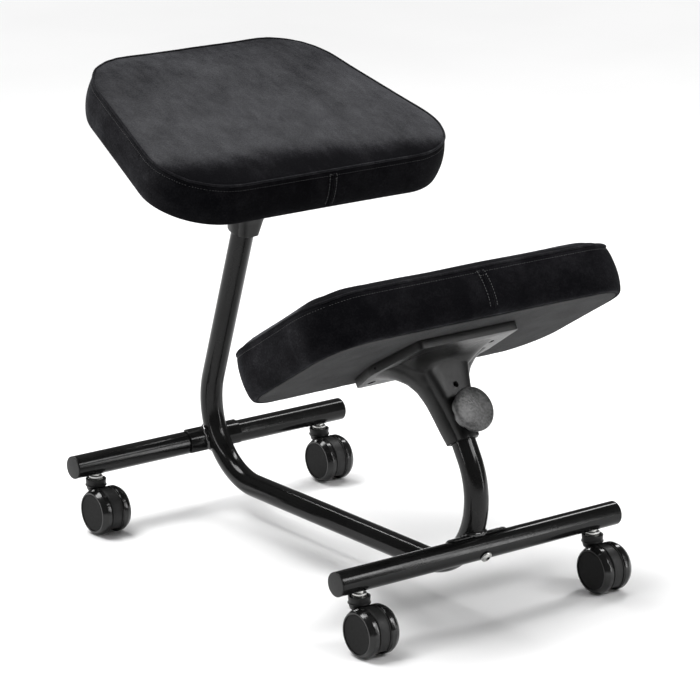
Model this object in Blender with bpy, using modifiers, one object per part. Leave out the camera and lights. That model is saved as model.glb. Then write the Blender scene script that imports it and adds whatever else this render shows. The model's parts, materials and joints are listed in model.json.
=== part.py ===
"""Kneeling chair on four twin-wheel casters: a bent tube frame, two cross bars, a tilted
seat and an adjustable knee pad.

Frame of reference: +Z is up, -Y is the front, where the knees go, and X runs across the chair.
The floor is Z = 0. Lengths are in metres and angles in degrees, unless a name says otherwise.
"""
from math import acos, asin, atan2, ceil, cos, degrees, hypot, pi, radians, sin, sqrt, tan

import bmesh
import bpy
from mathutils import Matrix, Vector

# ---------------------------------------------------------------- driving dimensions
GAP = 0.0003                # clearance between two pieces that touch
STEEL_TUBE_R = 0.015        # 30 mm round tube, used for the main tube and for both bars
STEEL_TUBE_WALL = 0.002

BEND_R = 0.098              # centreline radius of both bends of the main tube
BEND_Y = {-1: -0.176, 1: 0.180}     # the centres of the front and the rear bend
BEND_Z = 0.145
SEAT_LEAN = 19.0            # the seat post leans forward by this, and the seat tilts with it
KNEE_LEAN = 31.0            # the knee post leans back by this, and the knee pad tilts with it
SEAT_POST_LENGTH = 0.3378   # from the end of the rear bend to the underside of the seat
KNEE_POST_LENGTH = 0.1383   # from the end of the front bend to the underside of the knee pad

BAR_LENGTH = 0.430
BAR_Z = 0.088
BAR_SETBACK = 0.0200        # from the main tube's centreline to the centre of a bar
SADDLE_WALL = 0.0025
SADDLE_LENGTH = 0.080
SADDLE_SPREAD = 66.0        # half the angle that a saddle wraps round its bar
CAP_THICKNESS = 0.0015      # the disc of an end cap, outside its bar
CAP_CHAMFER = 0.0008
CAP_PLUG_DEPTH = 0.012
CAP_PLUG_TAPER = 0.0006

STEM_INSET = 0.035          # from the end of a bar to the middle of a caster's stem
CASTER_TRAIL = 0.0224
WHEEL_R = 0.030
WHEEL_WIDTH = 0.0130
HOOD_HALF_WIDTH = 0.0082
COLLAR_BOTTOM = 0.0590       # the round collar on a caster's hood, above the floor
COLLAR_TOP = 0.0676
COLLAR_FOOT_R = 0.0126
COLLAR_RIM_R = 0.0134
COLLAR_RECESS_R = 0.0108
COLLAR_RECESS_DEPTH = 0.003
NECK_FRONT_Y = -0.012       # the block between the collar and the round of the hood
NECK_BACK_Y = 0.0095
NECK_FOOT_Z = 0.032
HOOD_STEP = 0.0012          # the hood's radius is this much less than the wheels'
HOOD_CUT_Z = -0.0195        # where the hood is cut off, from the wheels' axis
STEM_R = 0.0055
STEM_FOOT_Z = 0.0515
STEM_INTO_BAR = 0.0105      # from a bar's middle up to the end of the stem
STEM_FLANGE_R = 0.0090
STEM_FLANGE_LOW = 0.0045    # the flange's lower and upper face, below the bar
STEM_FLANGE_HIGH = 0.0012
STEM_CHAMFER = 0.001
AXLE_R = 0.0030
AXLE_REACH = 0.0175         # half the length of an axle
AXLE_END_GAP = 0.0003
HUB_GAP = 0.0004            # between a wheel and the hood
WHEEL_FACE_R = 0.0225       # the flat disc in a wheel's face, sunk by the face depth
WHEEL_FACE_DEPTH = 0.0006
WHEEL_RIM_IN_R = 0.0240
WHEEL_RIM_OUT_R = 0.0262
WHEEL_SHOULDER_R = 0.0285
WHEEL_SHOULDER_DROP = 0.0028
WHEEL_TREAD_DROP = 0.0065
WHEEL_INNER_CHAMFER = (0.0010, 0.0012)

BOARD_THICKNESS = 0.010
BOARD_INSET = 0.006
BOARD_HOLLOW_START = -0.01  # the tool for the board's hollow starts below the cushion
COVER_THICKNESS = 0.0012
COVER_INSET = 0.009
CUSHION_ROUND = 0.007
SEAT_FRONT_WIDTH = 0.470    # widths are between the outline's corners before they are rounded
SEAT_BACK_WIDTH = 0.346
SEAT_DEPTH = 0.330
SEAT_CORNER_R = 0.085
SEAT_THICKNESS = 0.055
SEAT_OFFSET = 0.0160        # the seat's middle lies this far behind the post
KNEE_WIDTH = 0.464
KNEE_DEPTH = 0.246
KNEE_CORNER_R = 0.068
KNEE_THICKNESS = 0.060
KNEE_OFFSET = -0.0144

FLANGE_THICKNESS = 0.011
FLANGE_FRONT_HALF = 0.074   # half the flange's width at its front, its widest line and its back
FLANGE_WIDEST_HALF = 0.088
FLANGE_BACK_HALF = 0.070
FLANGE_WIDEST_Y = 0.012
FLANGE_END_Y = 0.078
FLANGE_CORNER_R = 0.012
EDGE_ROUND = 0.0012         # the small bevel on moulded edges
SOCKET_DEPTH = 0.117        # from the pad's underside to the lower end of a bracket's socket
SOCKET_WALL = 0.0042
TRUNK_FLATNESS = 0.8        # a bracket's trumpet is this much slimmer from front to back
TRUNK_SETBACK = 0.0025      # and its middle lies this far behind the socket
TRUNK_START = 0.003         # the trumpet starts this far above the lip of the socket
TRUNK_OVERLAP = 0.002       # and runs this far into the flange
TRUNK_RADII = {0.018: 0.0242, 0.036: 0.0268, 0.055: 0.0298, 0.072: 0.0355, 0.085: 0.0445, 0.095: 0.0560}
TRUNK_TOP_R = 0.0650        # TRUNK_RADII are the radii at heights above the lip
SLEEVE_OVERLAP = 0.003
POST_CLEARANCE = 0.0005     # between the end of a post and the end of its socket
SLIDE_CLEARANCE = 0.0003
HOLE_X = 0.0585             # the brackets' screw holes
HOLE_FRONT_Y = -0.036
HOLE_BACK_Y = 0.058
SCREW_R = 0.0025
SCREW_LENGTH = 0.0165
SCREW_HEAD_R = 0.0048
SCREW_HEAD_HEIGHT = 0.0026
SCREW_HEAD_FACE_R = 0.0030
SCREW_HEAD_CHAMFER = 0.0016
SCREW_TIP_R = 0.0006
SCREW_TIP_LENGTH = 0.003
SCREW_KEY_FLATS = 0.003
SCREW_KEY_DEPTH = 0.0014
SCREW_SEAT_DEPTH = 0.0055   # from the flange's top down to the screw's head
SCREW_RECESS_GAP = 0.0008
PILOT_TOP = 0.0105

KNOB_R = 0.027
KNOB_HEIGHT = 0.015
KNOB_DROP = 0.0885          # from the knee pad's underside down to the knob's axis
KNOB_STAND_OFF = 0.0285     # from the post's axis to the back of the knob
KNOB_FLUTES = 7
KNOB_FLUTE_DEPTH = 0.0016
KNOB_POINTS = 42
KNOB_ROUND = 0.003
KNOB_BOSS_R = 0.0125        # the boss on the bracket, behind the knob
KNOB_BOSS_START = 0.018
KNOB_BOSS_GAP = 0.0005
INSERT_R = 0.0066
INSERT_START = 0.0012       # from the socket's bore to the brass insert
INSERT_SEAT_START = 0.010
INSERT_END_GAP = 0.0008
STUD_R = 0.004
STUD_CHAMFER = 0.001
STUD_INTO_KNOB = 0.009

BOLT_R = 0.004
BOLT_HEAD_R = 0.0072
BOLT_SEAT_GAP = 0.0004      # between the bar and the bolt's head
BOLT_RIM_HEIGHT = 0.0012
BOLT_SHOULDER_R = 0.82      # shares of the head's radius where the dome bends
BOLT_CROWN_R = 0.5
BOLT_SHOULDER_HEIGHT = 0.0032
BOLT_HEAD_HEIGHT = 0.0042
BOLT_CHAMFER = 0.0008
BOLT_PAST_NUT = 0.0015
BOLT_KEY_FLATS = 0.005
BOLT_KEY_FLOOR = 0.0015
NUT_ACROSS_FLATS = 0.013
NUT_HEIGHT = 0.0065

SHORT_CUT, LONG_CUT = 0.03, 0.05    # how far the cutting tools reach past a tube's middle
PATH_STEP = 10.0            # the bends are built from steps of at most this many degrees
FINE_STEPS, ROUND_STEPS, SMALL_STEPS, TINY_STEPS = 24, 20, 16, 12   # sides of the turned pieces

# name: (base colour, roughness, metallic)
MATERIALS = {
    "powder_coat_black": ((0.018, 0.018, 0.019), 0.28, 0.0),
    "plastic_black_matt": ((0.030, 0.030, 0.031), 0.60, 0.0),
    "plastic_black_gloss": ((0.022, 0.022, 0.023), 0.25, 0.0),
    "zinc_steel": ((0.62, 0.62, 0.60), 0.30, 1.0),
    "brass": ((0.72, 0.55, 0.28), 0.32, 1.0),
    "velvet_black": ((0.035, 0.035, 0.040), 0.95, 0.0),
    "dust_cover_grey": ((0.19, 0.19, 0.20), 0.95, 0.0),
    "plywood": ((0.62, 0.46, 0.28), 0.70, 0.0),
}

# ---------------------------------------------------------------- worked-out dimensions
STEEL_BORE_R = STEEL_TUBE_R - STEEL_TUBE_WALL
BAR_REACH = sqrt((BEND_R + BAR_SETBACK) ** 2 - (BEND_Z - BAR_Z) ** 2)
BAR_Y = {side: BEND_Y[side] + side * BAR_REACH for side in (-1, 1)}
BAR_DROP = degrees(asin((BEND_Z - BAR_Z) / (BEND_R + BAR_SETBACK)))
STEM_X = BAR_LENGTH / 2 - STEM_INSET
SADDLE_IN_R = STEEL_TUBE_R + GAP
SADDLE_OUT_R = SADDLE_IN_R + SADDLE_WALL
SOCKET_BORE_R = STEEL_TUBE_R + SLIDE_CLEARANCE
SOCKET_R = SOCKET_BORE_R + SOCKET_WALL
FLANGE_TOP = -(COVER_THICKNESS + 2 * GAP)
FLANGE_BOTTOM = FLANGE_TOP - FLANGE_THICKNESS
POST_TOP = FLANGE_BOTTOM - 0.004    # the end of a post, in its pad's frame


# ---------------------------------------------------------------- scene and objects
def clear_scene():
    for obj in list(bpy.data.objects):
        bpy.data.objects.remove(obj, do_unlink=True)


def make_material(name):
    colour, roughness, metallic = MATERIALS[name]
    mat = bpy.data.materials.new(name)
    mat.use_nodes = True
    shader = mat.node_tree.nodes["Principled BSDF"]
    shader.inputs["Base Color"].default_value = (*colour, 1.0)
    shader.inputs["Roughness"].default_value = roughness
    shader.inputs["Metallic"].default_value = metallic
    mat.diffuse_color = (*colour, 1.0)
    return mat


def collection(name):
    found = bpy.data.collections.get(name)
    if found is None:
        found = bpy.data.collections.new(name)
        bpy.context.scene.collection.children.link(found)
    return found


def add(name, data, material, parent=None, at=(0, 0, 0), turn=(0, 0, 0)):
    """Make the object, in the parent's frame. turn holds degrees about X, Y and Z."""
    obj = bpy.data.objects.new(name, data)
    is_cutter = material is None
    collection("cutters" if is_cutter else "chair").objects.link(obj)
    obj.parent = parent
    obj.location = at
    obj.rotation_euler = [radians(a) for a in turn]
    if is_cutter:
        obj.hide_render = True
        obj.display_type = "WIRE"
    else:
        obj.data.materials.append(make_material(material))
    return obj


def empty(name, at, turn=(0, 0, 0), parent=None):
    obj = bpy.data.objects.new(name, None)
    collection("chair").objects.link(obj)
    obj.parent = parent
    obj.location = at
    obj.rotation_euler = [radians(a) for a in turn]
    return obj


def cut(target, *cutters, operation="DIFFERENCE"):
    for cutter in cutters:
        mod = target.modifiers.new(cutter.name, "BOOLEAN")
        mod.operation = operation
        mod.solver = "EXACT"
        mod.object = cutter


def weld(obj):
    mod = obj.modifiers.new("weld", "WELD")
    mod.merge_threshold = 0.00001


def bevel(obj, width, segments=2, angle=40.0):
    mod = obj.modifiers.new("bevel", "BEVEL")
    mod.width = width
    mod.segments = segments
    mod.limit_method = "ANGLE"
    mod.angle_limit = radians(angle)
    mod.harden_normals = False


# ---------------------------------------------------------------- shapes
def rod_mesh(name, radius, z0, z1, segments=24, radius_end=None):
    """A cylinder or cone along Z."""
    bm = bmesh.new()
    bmesh.ops.create_cone(bm, cap_ends=True, segments=segments, radius1=radius,
                          radius2=radius if radius_end is None else radius_end, depth=z1 - z0)
    bmesh.ops.translate(bm, vec=(0, 0, (z0 + z1) / 2), verts=bm.verts)
    mesh = bpy.data.meshes.new(name)
    bm.to_mesh(mesh)
    bm.free()
    return mesh


def box_mesh(name, low, high):
    bm = bmesh.new()
    bmesh.ops.create_cube(bm, size=1.0)
    low, high = Vector(low), Vector(high)
    bmesh.ops.scale(bm, vec=high - low, verts=bm.verts)
    bmesh.ops.translate(bm, vec=(low + high) / 2, verts=bm.verts)
    mesh = bpy.data.meshes.new(name)
    bm.to_mesh(mesh)
    bm.free()
    return mesh


def turned(name, profile, material, steps=24, closed=False, **place):
    """Turn a profile of (radius, height) points about Z. An open profile starts and ends on Z."""
    count = len(profile)
    area = sum(profile[i - 1][0] * profile[i][1] - profile[i][0] * profile[i - 1][1] for i in range(count))
    if area > 0:
        profile = profile[::-1]      # this direction turns into outward faces
    mesh = bpy.data.meshes.new(name)
    edges = [(i, i + 1) for i in range(count - 1)]
    if closed:
        edges.append((count - 1, 0))
    mesh.from_pydata([(r, 0, z) for r, z in profile], edges, [])
    obj = add(name, mesh, material, **place)
    mod = obj.modifiers.new("turn", "SCREW")
    mod.steps = steps
    mod.render_steps = steps
    mod.use_merge_vertices = True
    mod.merge_threshold = 0.00001
    return obj


def ring(name, inner, outer, z0, z1, material, steps=24, **place):
    profile = [(inner, z0), (outer, z0), (outer, z1), (inner, z1)]
    return turned(name, profile, material, steps, closed=True, **place)


def curve_to_mesh(curve):
    holder = bpy.data.objects.new(curve.name, curve)
    mesh = bpy.data.meshes.new_from_object(holder)
    bpy.data.objects.remove(holder, do_unlink=True)
    return mesh


def plate(name, outline, z0, z1, material, **place):
    """A flat piece in XY with the given outline, from z0 to z1."""
    curve = bpy.data.curves.new(name, "CURVE")
    curve.dimensions = "2D"
    curve.fill_mode = "BOTH"
    curve.extrude = (z1 - z0) / 2
    spline = curve.splines.new("POLY")
    spline.points.add(len(outline) - 1)
    for point, (x, y) in zip(spline.points, outline):
        point.co = (x, y, 0, 1)
    spline.use_cyclic_u = True
    mesh = curve_to_mesh(curve)
    mesh.transform(Matrix.Translation((0, 0, (z0 + z1) / 2)))
    obj = add(name, mesh, material, **place)
    weld(obj)
    return obj


def pipe_curve(name, points, radius, material, resolution=6, **place):
    curve = bpy.data.curves.new(name, "CURVE")
    curve.dimensions = "3D"
    curve.bevel_depth = radius
    curve.bevel_resolution = resolution
    curve.use_fill_caps = True
    curve.twist_mode = "MINIMUM"
    spline = curve.splines.new("POLY")
    spline.points.add(len(points) - 1)
    for point, co in zip(spline.points, points):
        point.co = (*co, 1)
    obj = add(name, curve_to_mesh(curve), material, **place)
    weld(obj)
    return obj


def arc(cx, cy, radius, start, end, steps):
    """Points on an arc, ends included."""
    angles = [radians(start + (end - start) * i / steps) for i in range(steps + 1)]
    return [(cx + radius * cos(a), cy + radius * sin(a)) for a in angles]


def rounded(corners, radius, steps=6):
    """The outline through the corners, each rounded by the radius."""
    outline = []
    for i, corner in enumerate(corners):
        here = Vector(corner)
        back = (Vector(corners[i - 1]) - here).normalized()
        ahead = (Vector(corners[(i + 1) % len(corners)]) - here).normalized()
        half = acos(max(-1.0, min(1.0, back.dot(ahead)))) / 2
        centre = here + (back + ahead).normalized() * radius / sin(half)
        first = here + back * radius / tan(half) - centre
        last = here + ahead * radius / tan(half) - centre
        start = degrees(atan2(first.y, first.x))
        sweep = (degrees(atan2(last.y, last.x)) - start + 180) % 360 - 180
        outline += arc(centre.x, centre.y, radius, start, start + sweep, steps)
    return outline


def pad_outline(front_width, back_width, depth, corner_r, offset, inset=0.0):
    """A pad's outline in its own plane. Local -Y is the front edge."""
    slope = (front_width - back_width) / 2 / depth
    side = inset * hypot(1, slope)
    front = front_width / 2 - side - slope * inset
    back = back_width / 2 - side + slope * inset
    y0 = offset - depth / 2 + inset
    y1 = offset + depth / 2 - inset
    return rounded([(-front, y0), (front, y0), (back, y1), (-back, y1)], corner_r - inset)


# ---------------------------------------------------------------- the frame
def bend_end(side, lean):
    """Where the bend on one side (-1 front, +1 rear) meets its post, in YZ."""
    return (BEND_Y[side] + side * BEND_R * cos(radians(lean)), BEND_Z + BEND_R * sin(radians(lean)))


def tube_path(extra):
    """The main tube's centreline, lengthened by extra at both ends."""
    def steps(sweep):
        return ceil(sweep / PATH_STEP)

    seat_y, seat_z = bend_end(1, SEAT_LEAN)
    knee_y, knee_z = bend_end(-1, KNEE_LEAN)
    seat_run = SEAT_POST_LENGTH + POST_TOP + extra
    knee_run = KNEE_POST_LENGTH + POST_TOP + extra
    rear = arc(BEND_Y[1], BEND_Z, BEND_R, SEAT_LEAN, -90, steps(90 + SEAT_LEAN))
    front = arc(BEND_Y[-1], BEND_Z, BEND_R, -90, -180 - KNEE_LEAN, steps(90 + KNEE_LEAN))
    seat_tip = (seat_y - seat_run * sin(radians(SEAT_LEAN)), seat_z + seat_run * cos(radians(SEAT_LEAN)))
    knee_tip = (knee_y + knee_run * sin(radians(KNEE_LEAN)), knee_z + knee_run * cos(radians(KNEE_LEAN)))
    return [(0, y, z) for y, z in [seat_tip, *rear, *front, knee_tip]]


def bar_frame(side):
    """An empty on a bar's middle, with Z pointing from the main tube out through the bar."""
    turn = -(90 + BAR_DROP) if side > 0 else 90 + BAR_DROP
    return empty("rear_bar_axis" if side > 0 else "front_bar_axis", (0, BAR_Y[side], BAR_Z), (turn, 0, 0))


def make_main_tube():
    tube = pipe_curve("main_tube", tube_path(0.0), STEEL_TUBE_R, "powder_coat_black")
    bore = pipe_curve("main_tube_bore", tube_path(0.01), STEEL_BORE_R, None)
    cut(tube, bore)
    for side in (-1, 1):
        notch = add(f"main_tube_notch_{side}",
                    rod_mesh("notch", SADDLE_OUT_R + GAP, -LONG_CUT, LONG_CUT, 32), None,
                    at=(0, BAR_Y[side], BAR_Z), turn=(0, 90, 0))
        cut(tube, notch)
    return tube


def make_crossbar(word, side, axis):
    bar_end = BAR_LENGTH / 2 - CAP_THICKNESS
    bar = ring(f"{word}_crossbar", STEEL_BORE_R, STEEL_TUBE_R, -bar_end, bar_end,
               "powder_coat_black", at=(0, BAR_Y[side], BAR_Z), turn=(0, 90, 0))
    bolt_hole = add(f"{word}_bolt_hole", rod_mesh("hole", BOLT_R + GAP, -SHORT_CUT, SHORT_CUT, SMALL_STEPS), None,
                    parent=axis)
    cut(bar, bolt_hole)
    for hand in (-1, 1):
        stem_hole = add(f"{word}_stem_hole_{hand}", rod_mesh("hole", STEM_R + GAP, -SHORT_CUT, 0.0, SMALL_STEPS),
                        None, at=(hand * STEM_X, BAR_Y[side], BAR_Z))
        cut(bar, stem_hole)
        plug_r = STEEL_BORE_R - GAP
        profile = [(0, CAP_THICKNESS), (STEEL_TUBE_R - CAP_CHAMFER, CAP_THICKNESS),
                   (STEEL_TUBE_R, CAP_THICKNESS - CAP_CHAMFER), (STEEL_TUBE_R, GAP), (plug_r, GAP),
                   (plug_r - CAP_PLUG_TAPER, -CAP_PLUG_DEPTH), (0, -CAP_PLUG_DEPTH)]
        turned(f"{word}_{'left' if hand < 0 else 'right'}_end_cap", profile, "plastic_black_matt",
               at=(hand * bar_end, BAR_Y[side], BAR_Z), turn=(0, 90 * hand, 0))


def make_saddle(word, axis):
    """The half-round plate that is welded into the tube's notch and holds the bar."""
    outline = arc(0, 0, SADDLE_OUT_R, -SADDLE_SPREAD, SADDLE_SPREAD, 12)
    outline += arc(0, 0, SADDLE_IN_R, SADDLE_SPREAD, -SADDLE_SPREAD, 12)
    saddle = plate(f"{word}_saddle", outline, -SADDLE_LENGTH / 2, SADDLE_LENGTH / 2, "powder_coat_black",
                   parent=axis, turn=(0, 90, 0))
    hole = add(f"{word}_saddle_hole", rod_mesh("hole", BOLT_R + GAP, -SHORT_CUT, -0.005, SMALL_STEPS), None,
               parent=axis)
    cut(saddle, hole)


def hex_mesh(name, across_flats, z0, z1):
    return rod_mesh(name, across_flats / sqrt(3), z0, z1, segments=6)


def make_bar_fixing(word, axis):
    """The button-head bolt through the bar, and the nut that it screws into."""
    nut_top = -(SADDLE_OUT_R + GAP)
    nut = add(f"{word}_weld_nut", hex_mesh("nut", NUT_ACROSS_FLATS, nut_top - NUT_HEIGHT, nut_top),
              "zinc_steel", parent=axis)
    thread = add(f"{word}_nut_bore", rod_mesh("bore", BOLT_R + GAP, -LONG_CUT, 0.0, SMALL_STEPS), None, parent=axis)
    cut(nut, thread)
    under = STEEL_TUBE_R + BOLT_SEAT_GAP
    tip = nut_top - NUT_HEIGHT - BOLT_PAST_NUT
    profile = [(0, tip), (BOLT_R - BOLT_CHAMFER, tip), (BOLT_R, tip + BOLT_CHAMFER), (BOLT_R, under),
               (BOLT_HEAD_R, under), (BOLT_HEAD_R, under + BOLT_RIM_HEIGHT),
               (BOLT_HEAD_R * BOLT_SHOULDER_R, under + BOLT_SHOULDER_HEIGHT),
               (BOLT_HEAD_R * BOLT_CROWN_R, under + BOLT_HEAD_HEIGHT), (0, under + BOLT_HEAD_HEIGHT)]
    bolt = turned(f"{word}_bar_bolt", profile, "zinc_steel", ROUND_STEPS, parent=axis)
    key = add(f"{word}_bolt_key", hex_mesh("key", BOLT_KEY_FLATS, under + BOLT_KEY_FLOOR, under + 0.01), None,
              parent=axis)
    cut(bolt, key)


# ---------------------------------------------------------------- casters
def caster_stem(name, x, y):
    """The steel pin that stays in the bar; the hood swivels round it."""
    foot, head = STEM_FOOT_Z, BAR_Z + STEM_INTO_BAR
    low, high = BAR_Z - STEEL_TUBE_R - STEM_FLANGE_LOW, BAR_Z - STEEL_TUBE_R - STEM_FLANGE_HIGH
    profile = [(0, foot), (STEM_R - STEM_CHAMFER, foot), (STEM_R, foot + STEM_CHAMFER), (STEM_R, low),
               (STEM_FLANGE_R, low), (STEM_FLANGE_R, high), (STEM_R, high), (STEM_R, head - STEM_CHAMFER),
               (STEM_R - STEM_CHAMFER, head), (0, head)]
    turned(name, profile, "zinc_steel", SMALL_STEPS, at=(x, y, 0))


def hood_outline():
    """The hood's side view about the wheel centre: a disc that is cut off flat below."""
    radius = WHEEL_R - HOOD_STEP
    low = degrees(asin(HOOD_CUT_Z / radius))
    return arc(0, 0, radius, low, 180 - low, 18)


def make_hood(corner, axis):
    """The hood between the wheels, with the collar that turns on the stem."""
    hood = plate(f"{corner}_caster_hood", hood_outline(), -HOOD_HALF_WIDTH, HOOD_HALF_WIDTH,
                 "plastic_black_matt", parent=axis, at=(0, -CASTER_TRAIL, WHEEL_R), turn=(90, 0, 90))
    bevel(hood, EDGE_ROUND, 1)
    neck = box_mesh("neck", (-HOOD_HALF_WIDTH, NECK_FRONT_Y, NECK_FOOT_Z),
                    (HOOD_HALF_WIDTH, NECK_BACK_Y, COLLAR_BOTTOM + 0.001))
    collar = rod_mesh("collar", COLLAR_FOOT_R, COLLAR_BOTTOM, COLLAR_TOP, ROUND_STEPS, COLLAR_RIM_R)
    recess = rod_mesh("rim", COLLAR_RECESS_R, COLLAR_TOP - COLLAR_RECESS_DEPTH, COLLAR_TOP + 0.002, ROUND_STEPS)
    bore = rod_mesh("bore", STEM_R + GAP, STEM_FOOT_Z - 0.001, COLLAR_TOP + 0.0024, SMALL_STEPS)
    cut(hood, add(f"{corner}_neck", neck, None, axis), add(f"{corner}_collar", collar, None, axis),
        operation="UNION")
    cut(hood, add(f"{corner}_collar_rim", recess, None, axis), add(f"{corner}_stem_bore", bore, None, axis),
        add(f"{corner}_axle_bore", rod_mesh("bore", AXLE_R + GAP, -0.02, 0.02, SMALL_STEPS), None, axis,
            (0, -CASTER_TRAIL, WHEEL_R), (0, 90, 0)))


def make_caster(corner, x, y):
    axis = empty(f"{corner}_swivel_axis", (x, y, 0))
    caster_stem(f"{corner}_caster_stem", x, y)
    make_hood(corner, axis)
    add(f"{corner}_caster_axle", rod_mesh("axle", AXLE_R, -AXLE_REACH, AXLE_REACH, SMALL_STEPS), "zinc_steel",
        parent=axis, at=(0, -CASTER_TRAIL, WHEEL_R), turn=(0, 90, 0))
    inner = HOOD_HALF_WIDTH + HUB_GAP
    blind = AXLE_REACH + AXLE_END_GAP - inner
    chamfer_out, chamfer_in = WHEEL_INNER_CHAMFER
    profile = [(0, WHEEL_WIDTH - WHEEL_FACE_DEPTH), (WHEEL_FACE_R, WHEEL_WIDTH - WHEEL_FACE_DEPTH),
               (WHEEL_RIM_IN_R, WHEEL_WIDTH), (WHEEL_RIM_OUT_R, WHEEL_WIDTH),
               (WHEEL_SHOULDER_R, WHEEL_WIDTH - WHEEL_SHOULDER_DROP), (WHEEL_R, WHEEL_WIDTH - WHEEL_TREAD_DROP),
               (WHEEL_R, chamfer_in), (WHEEL_R - chamfer_out, 0), (AXLE_R + GAP, 0), (AXLE_R + GAP, blind),
               (0, blind)]
    for word, hand in (("left", -1), ("right", 1)):
        turned(f"{corner}_{word}_wheel", profile, "plastic_black_gloss", parent=axis,
               at=(hand * inner, -CASTER_TRAIL, WHEEL_R), turn=(0, 90 * hand, 0))


# ---------------------------------------------------------------- pads and brackets
def flange_outline():
    half = [(FLANGE_FRONT_HALF, -FLANGE_END_Y), (FLANGE_WIDEST_HALF, FLANGE_WIDEST_Y),
            (FLANGE_BACK_HALF, FLANGE_END_Y)]
    corners = [(-FLANGE_FRONT_HALF, -FLANGE_END_Y), *half, *[(-x, y) for x, y in half[:0:-1]]]
    return rounded(corners, FLANGE_CORNER_R, 3)


def trunk_profile():
    """The bracket's trumpet below its flange, as (radius, height) points, from the lip upwards."""
    lip, top = -SOCKET_DEPTH, FLANGE_BOTTOM + TRUNK_OVERLAP
    side = [(radius, lip + height) for height, radius in TRUNK_RADII.items()]
    return [(0, lip + TRUNK_START), (SOCKET_R, lip + TRUNK_START), *side, (TRUNK_TOP_R, top), (0, top)]


def make_bracket(name, axis, with_knob):
    """The moulded bracket under a pad: a screw flange, a trumpet and the socket for the post."""
    bracket = plate(name, flange_outline(), FLANGE_BOTTOM, FLANGE_TOP, "plastic_black_matt", parent=axis)
    bevel(bracket, EDGE_ROUND, 1, 60)
    trunk = turned(f"{name}_trunk", trunk_profile(), None, parent=axis, at=(0, TRUNK_SETBACK, 0))
    trunk.scale.y = TRUNK_FLATNESS
    sleeve = rod_mesh("sleeve", SOCKET_R, -SOCKET_DEPTH, FLANGE_BOTTOM + SLEEVE_OVERLAP, FINE_STEPS)
    cut(bracket, trunk, add(f"{name}_sleeve", sleeve, None, parent=axis), operation="UNION")
    bore = add(f"{name}_bore",
               rod_mesh("bore", SOCKET_BORE_R, -SOCKET_DEPTH - 0.01, POST_TOP + POST_CLEARANCE, FINE_STEPS),
               None, parent=axis)
    cut(bracket, bore)
    for i, (x, y) in enumerate(hole_places()):
        hole = add(f"{name}_hole_{i}", rod_mesh("hole", SCREW_R + GAP, FLANGE_BOTTOM - 0.02, 0.0, TINY_STEPS),
                   None, parent=axis, at=(x, y, 0))
        recess = add(f"{name}_recess_{i}",
                     rod_mesh("recess", SCREW_HEAD_R + SCREW_RECESS_GAP, FLANGE_BOTTOM - 0.04,
                              FLANGE_TOP - SCREW_SEAT_DEPTH, SMALL_STEPS),
                     None, parent=axis, at=(x, y, 0))
        cut(bracket, hole, recess)
    if with_knob:
        boss = add(f"{name}_boss",
                   rod_mesh("boss", KNOB_BOSS_R, KNOB_BOSS_START, KNOB_STAND_OFF - KNOB_BOSS_GAP, FINE_STEPS),
                   None, parent=axis, at=(0, 0, -KNOB_DROP), turn=(90, 0, 0))
        seat = add(f"{name}_insert_seat", rod_mesh("seat", INSERT_R + GAP, INSERT_SEAT_START, 0.04, ROUND_STEPS),
                   None, parent=axis, at=(0, 0, -KNOB_DROP), turn=(90, 0, 0))
        cut(bracket, boss, operation="UNION")
        cut(bracket, bore, seat)


def hole_places():
    return [(x, y) for y in (HOLE_FRONT_Y, HOLE_BACK_Y) for x in (-HOLE_X, HOLE_X)]


def make_pad(word, axis, outline, thickness):
    """A pad: the cushion wraps a plywood board, and a thin cover closes it below."""
    cushion = plate(f"{word}_cushion", outline(), 0.0, thickness, "velvet_black", parent=axis)
    bevel(cushion, CUSHION_ROUND, 2, 60)
    hollow = plate(f"{word}_board_hollow", outline(BOARD_INSET), BOARD_HOLLOW_START, BOARD_THICKNESS + 2 * GAP,
                   None, parent=axis)
    cut(cushion, hollow)
    board = plate(f"{word}_board", outline(BOARD_INSET + GAP), GAP, GAP + BOARD_THICKNESS, "plywood", parent=axis)
    cover = plate(f"{word}_dust_cover", outline(COVER_INSET), -COVER_THICKNESS - GAP, -GAP, "dust_cover_grey",
                  parent=axis)
    for i, (x, y) in enumerate(hole_places()):
        hole = add(f"{word}_pilot_{i}", rod_mesh("pilot", SCREW_R + GAP, -0.02, PILOT_TOP, TINY_STEPS), None,
                   parent=axis, at=(x, y, 0))
        cut(board, hole)
        cut(cover, hole)
        corner = ("front" if i < 2 else "back") + ("_left" if i % 2 == 0 else "_right")
        make_pad_screw(f"{word}_{corner}_screw", axis, x, y)


def make_pad_screw(name, axis, x, y):
    seat = FLANGE_TOP - SCREW_SEAT_DEPTH - GAP
    face, tip = seat - SCREW_HEAD_HEIGHT, seat + SCREW_LENGTH
    profile = [(0, face), (SCREW_HEAD_FACE_R, face), (SCREW_HEAD_R, face + SCREW_HEAD_CHAMFER), (SCREW_HEAD_R, seat),
               (SCREW_R, seat), (SCREW_R, tip - SCREW_TIP_LENGTH), (SCREW_TIP_R, tip), (0, tip)]
    screw = turned(name, profile, "zinc_steel", TINY_STEPS, parent=axis, at=(x, y, 0))
    key = add(f"{name}_key", hex_mesh("key", SCREW_KEY_FLATS, seat - 0.01, face + SCREW_KEY_DEPTH), None,
              parent=axis, at=(x, y, 0))
    cut(screw, key)


def knob_outline():
    """A round grip with shallow flutes."""
    points = []
    for i in range(KNOB_POINTS):
        a = 2 * pi * i / KNOB_POINTS
        r = KNOB_R - KNOB_FLUTE_DEPTH * (0.5 - 0.5 * cos(KNOB_FLUTES * a)) ** 2
        points.append((r * cos(a), r * sin(a)))
    return points


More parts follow.
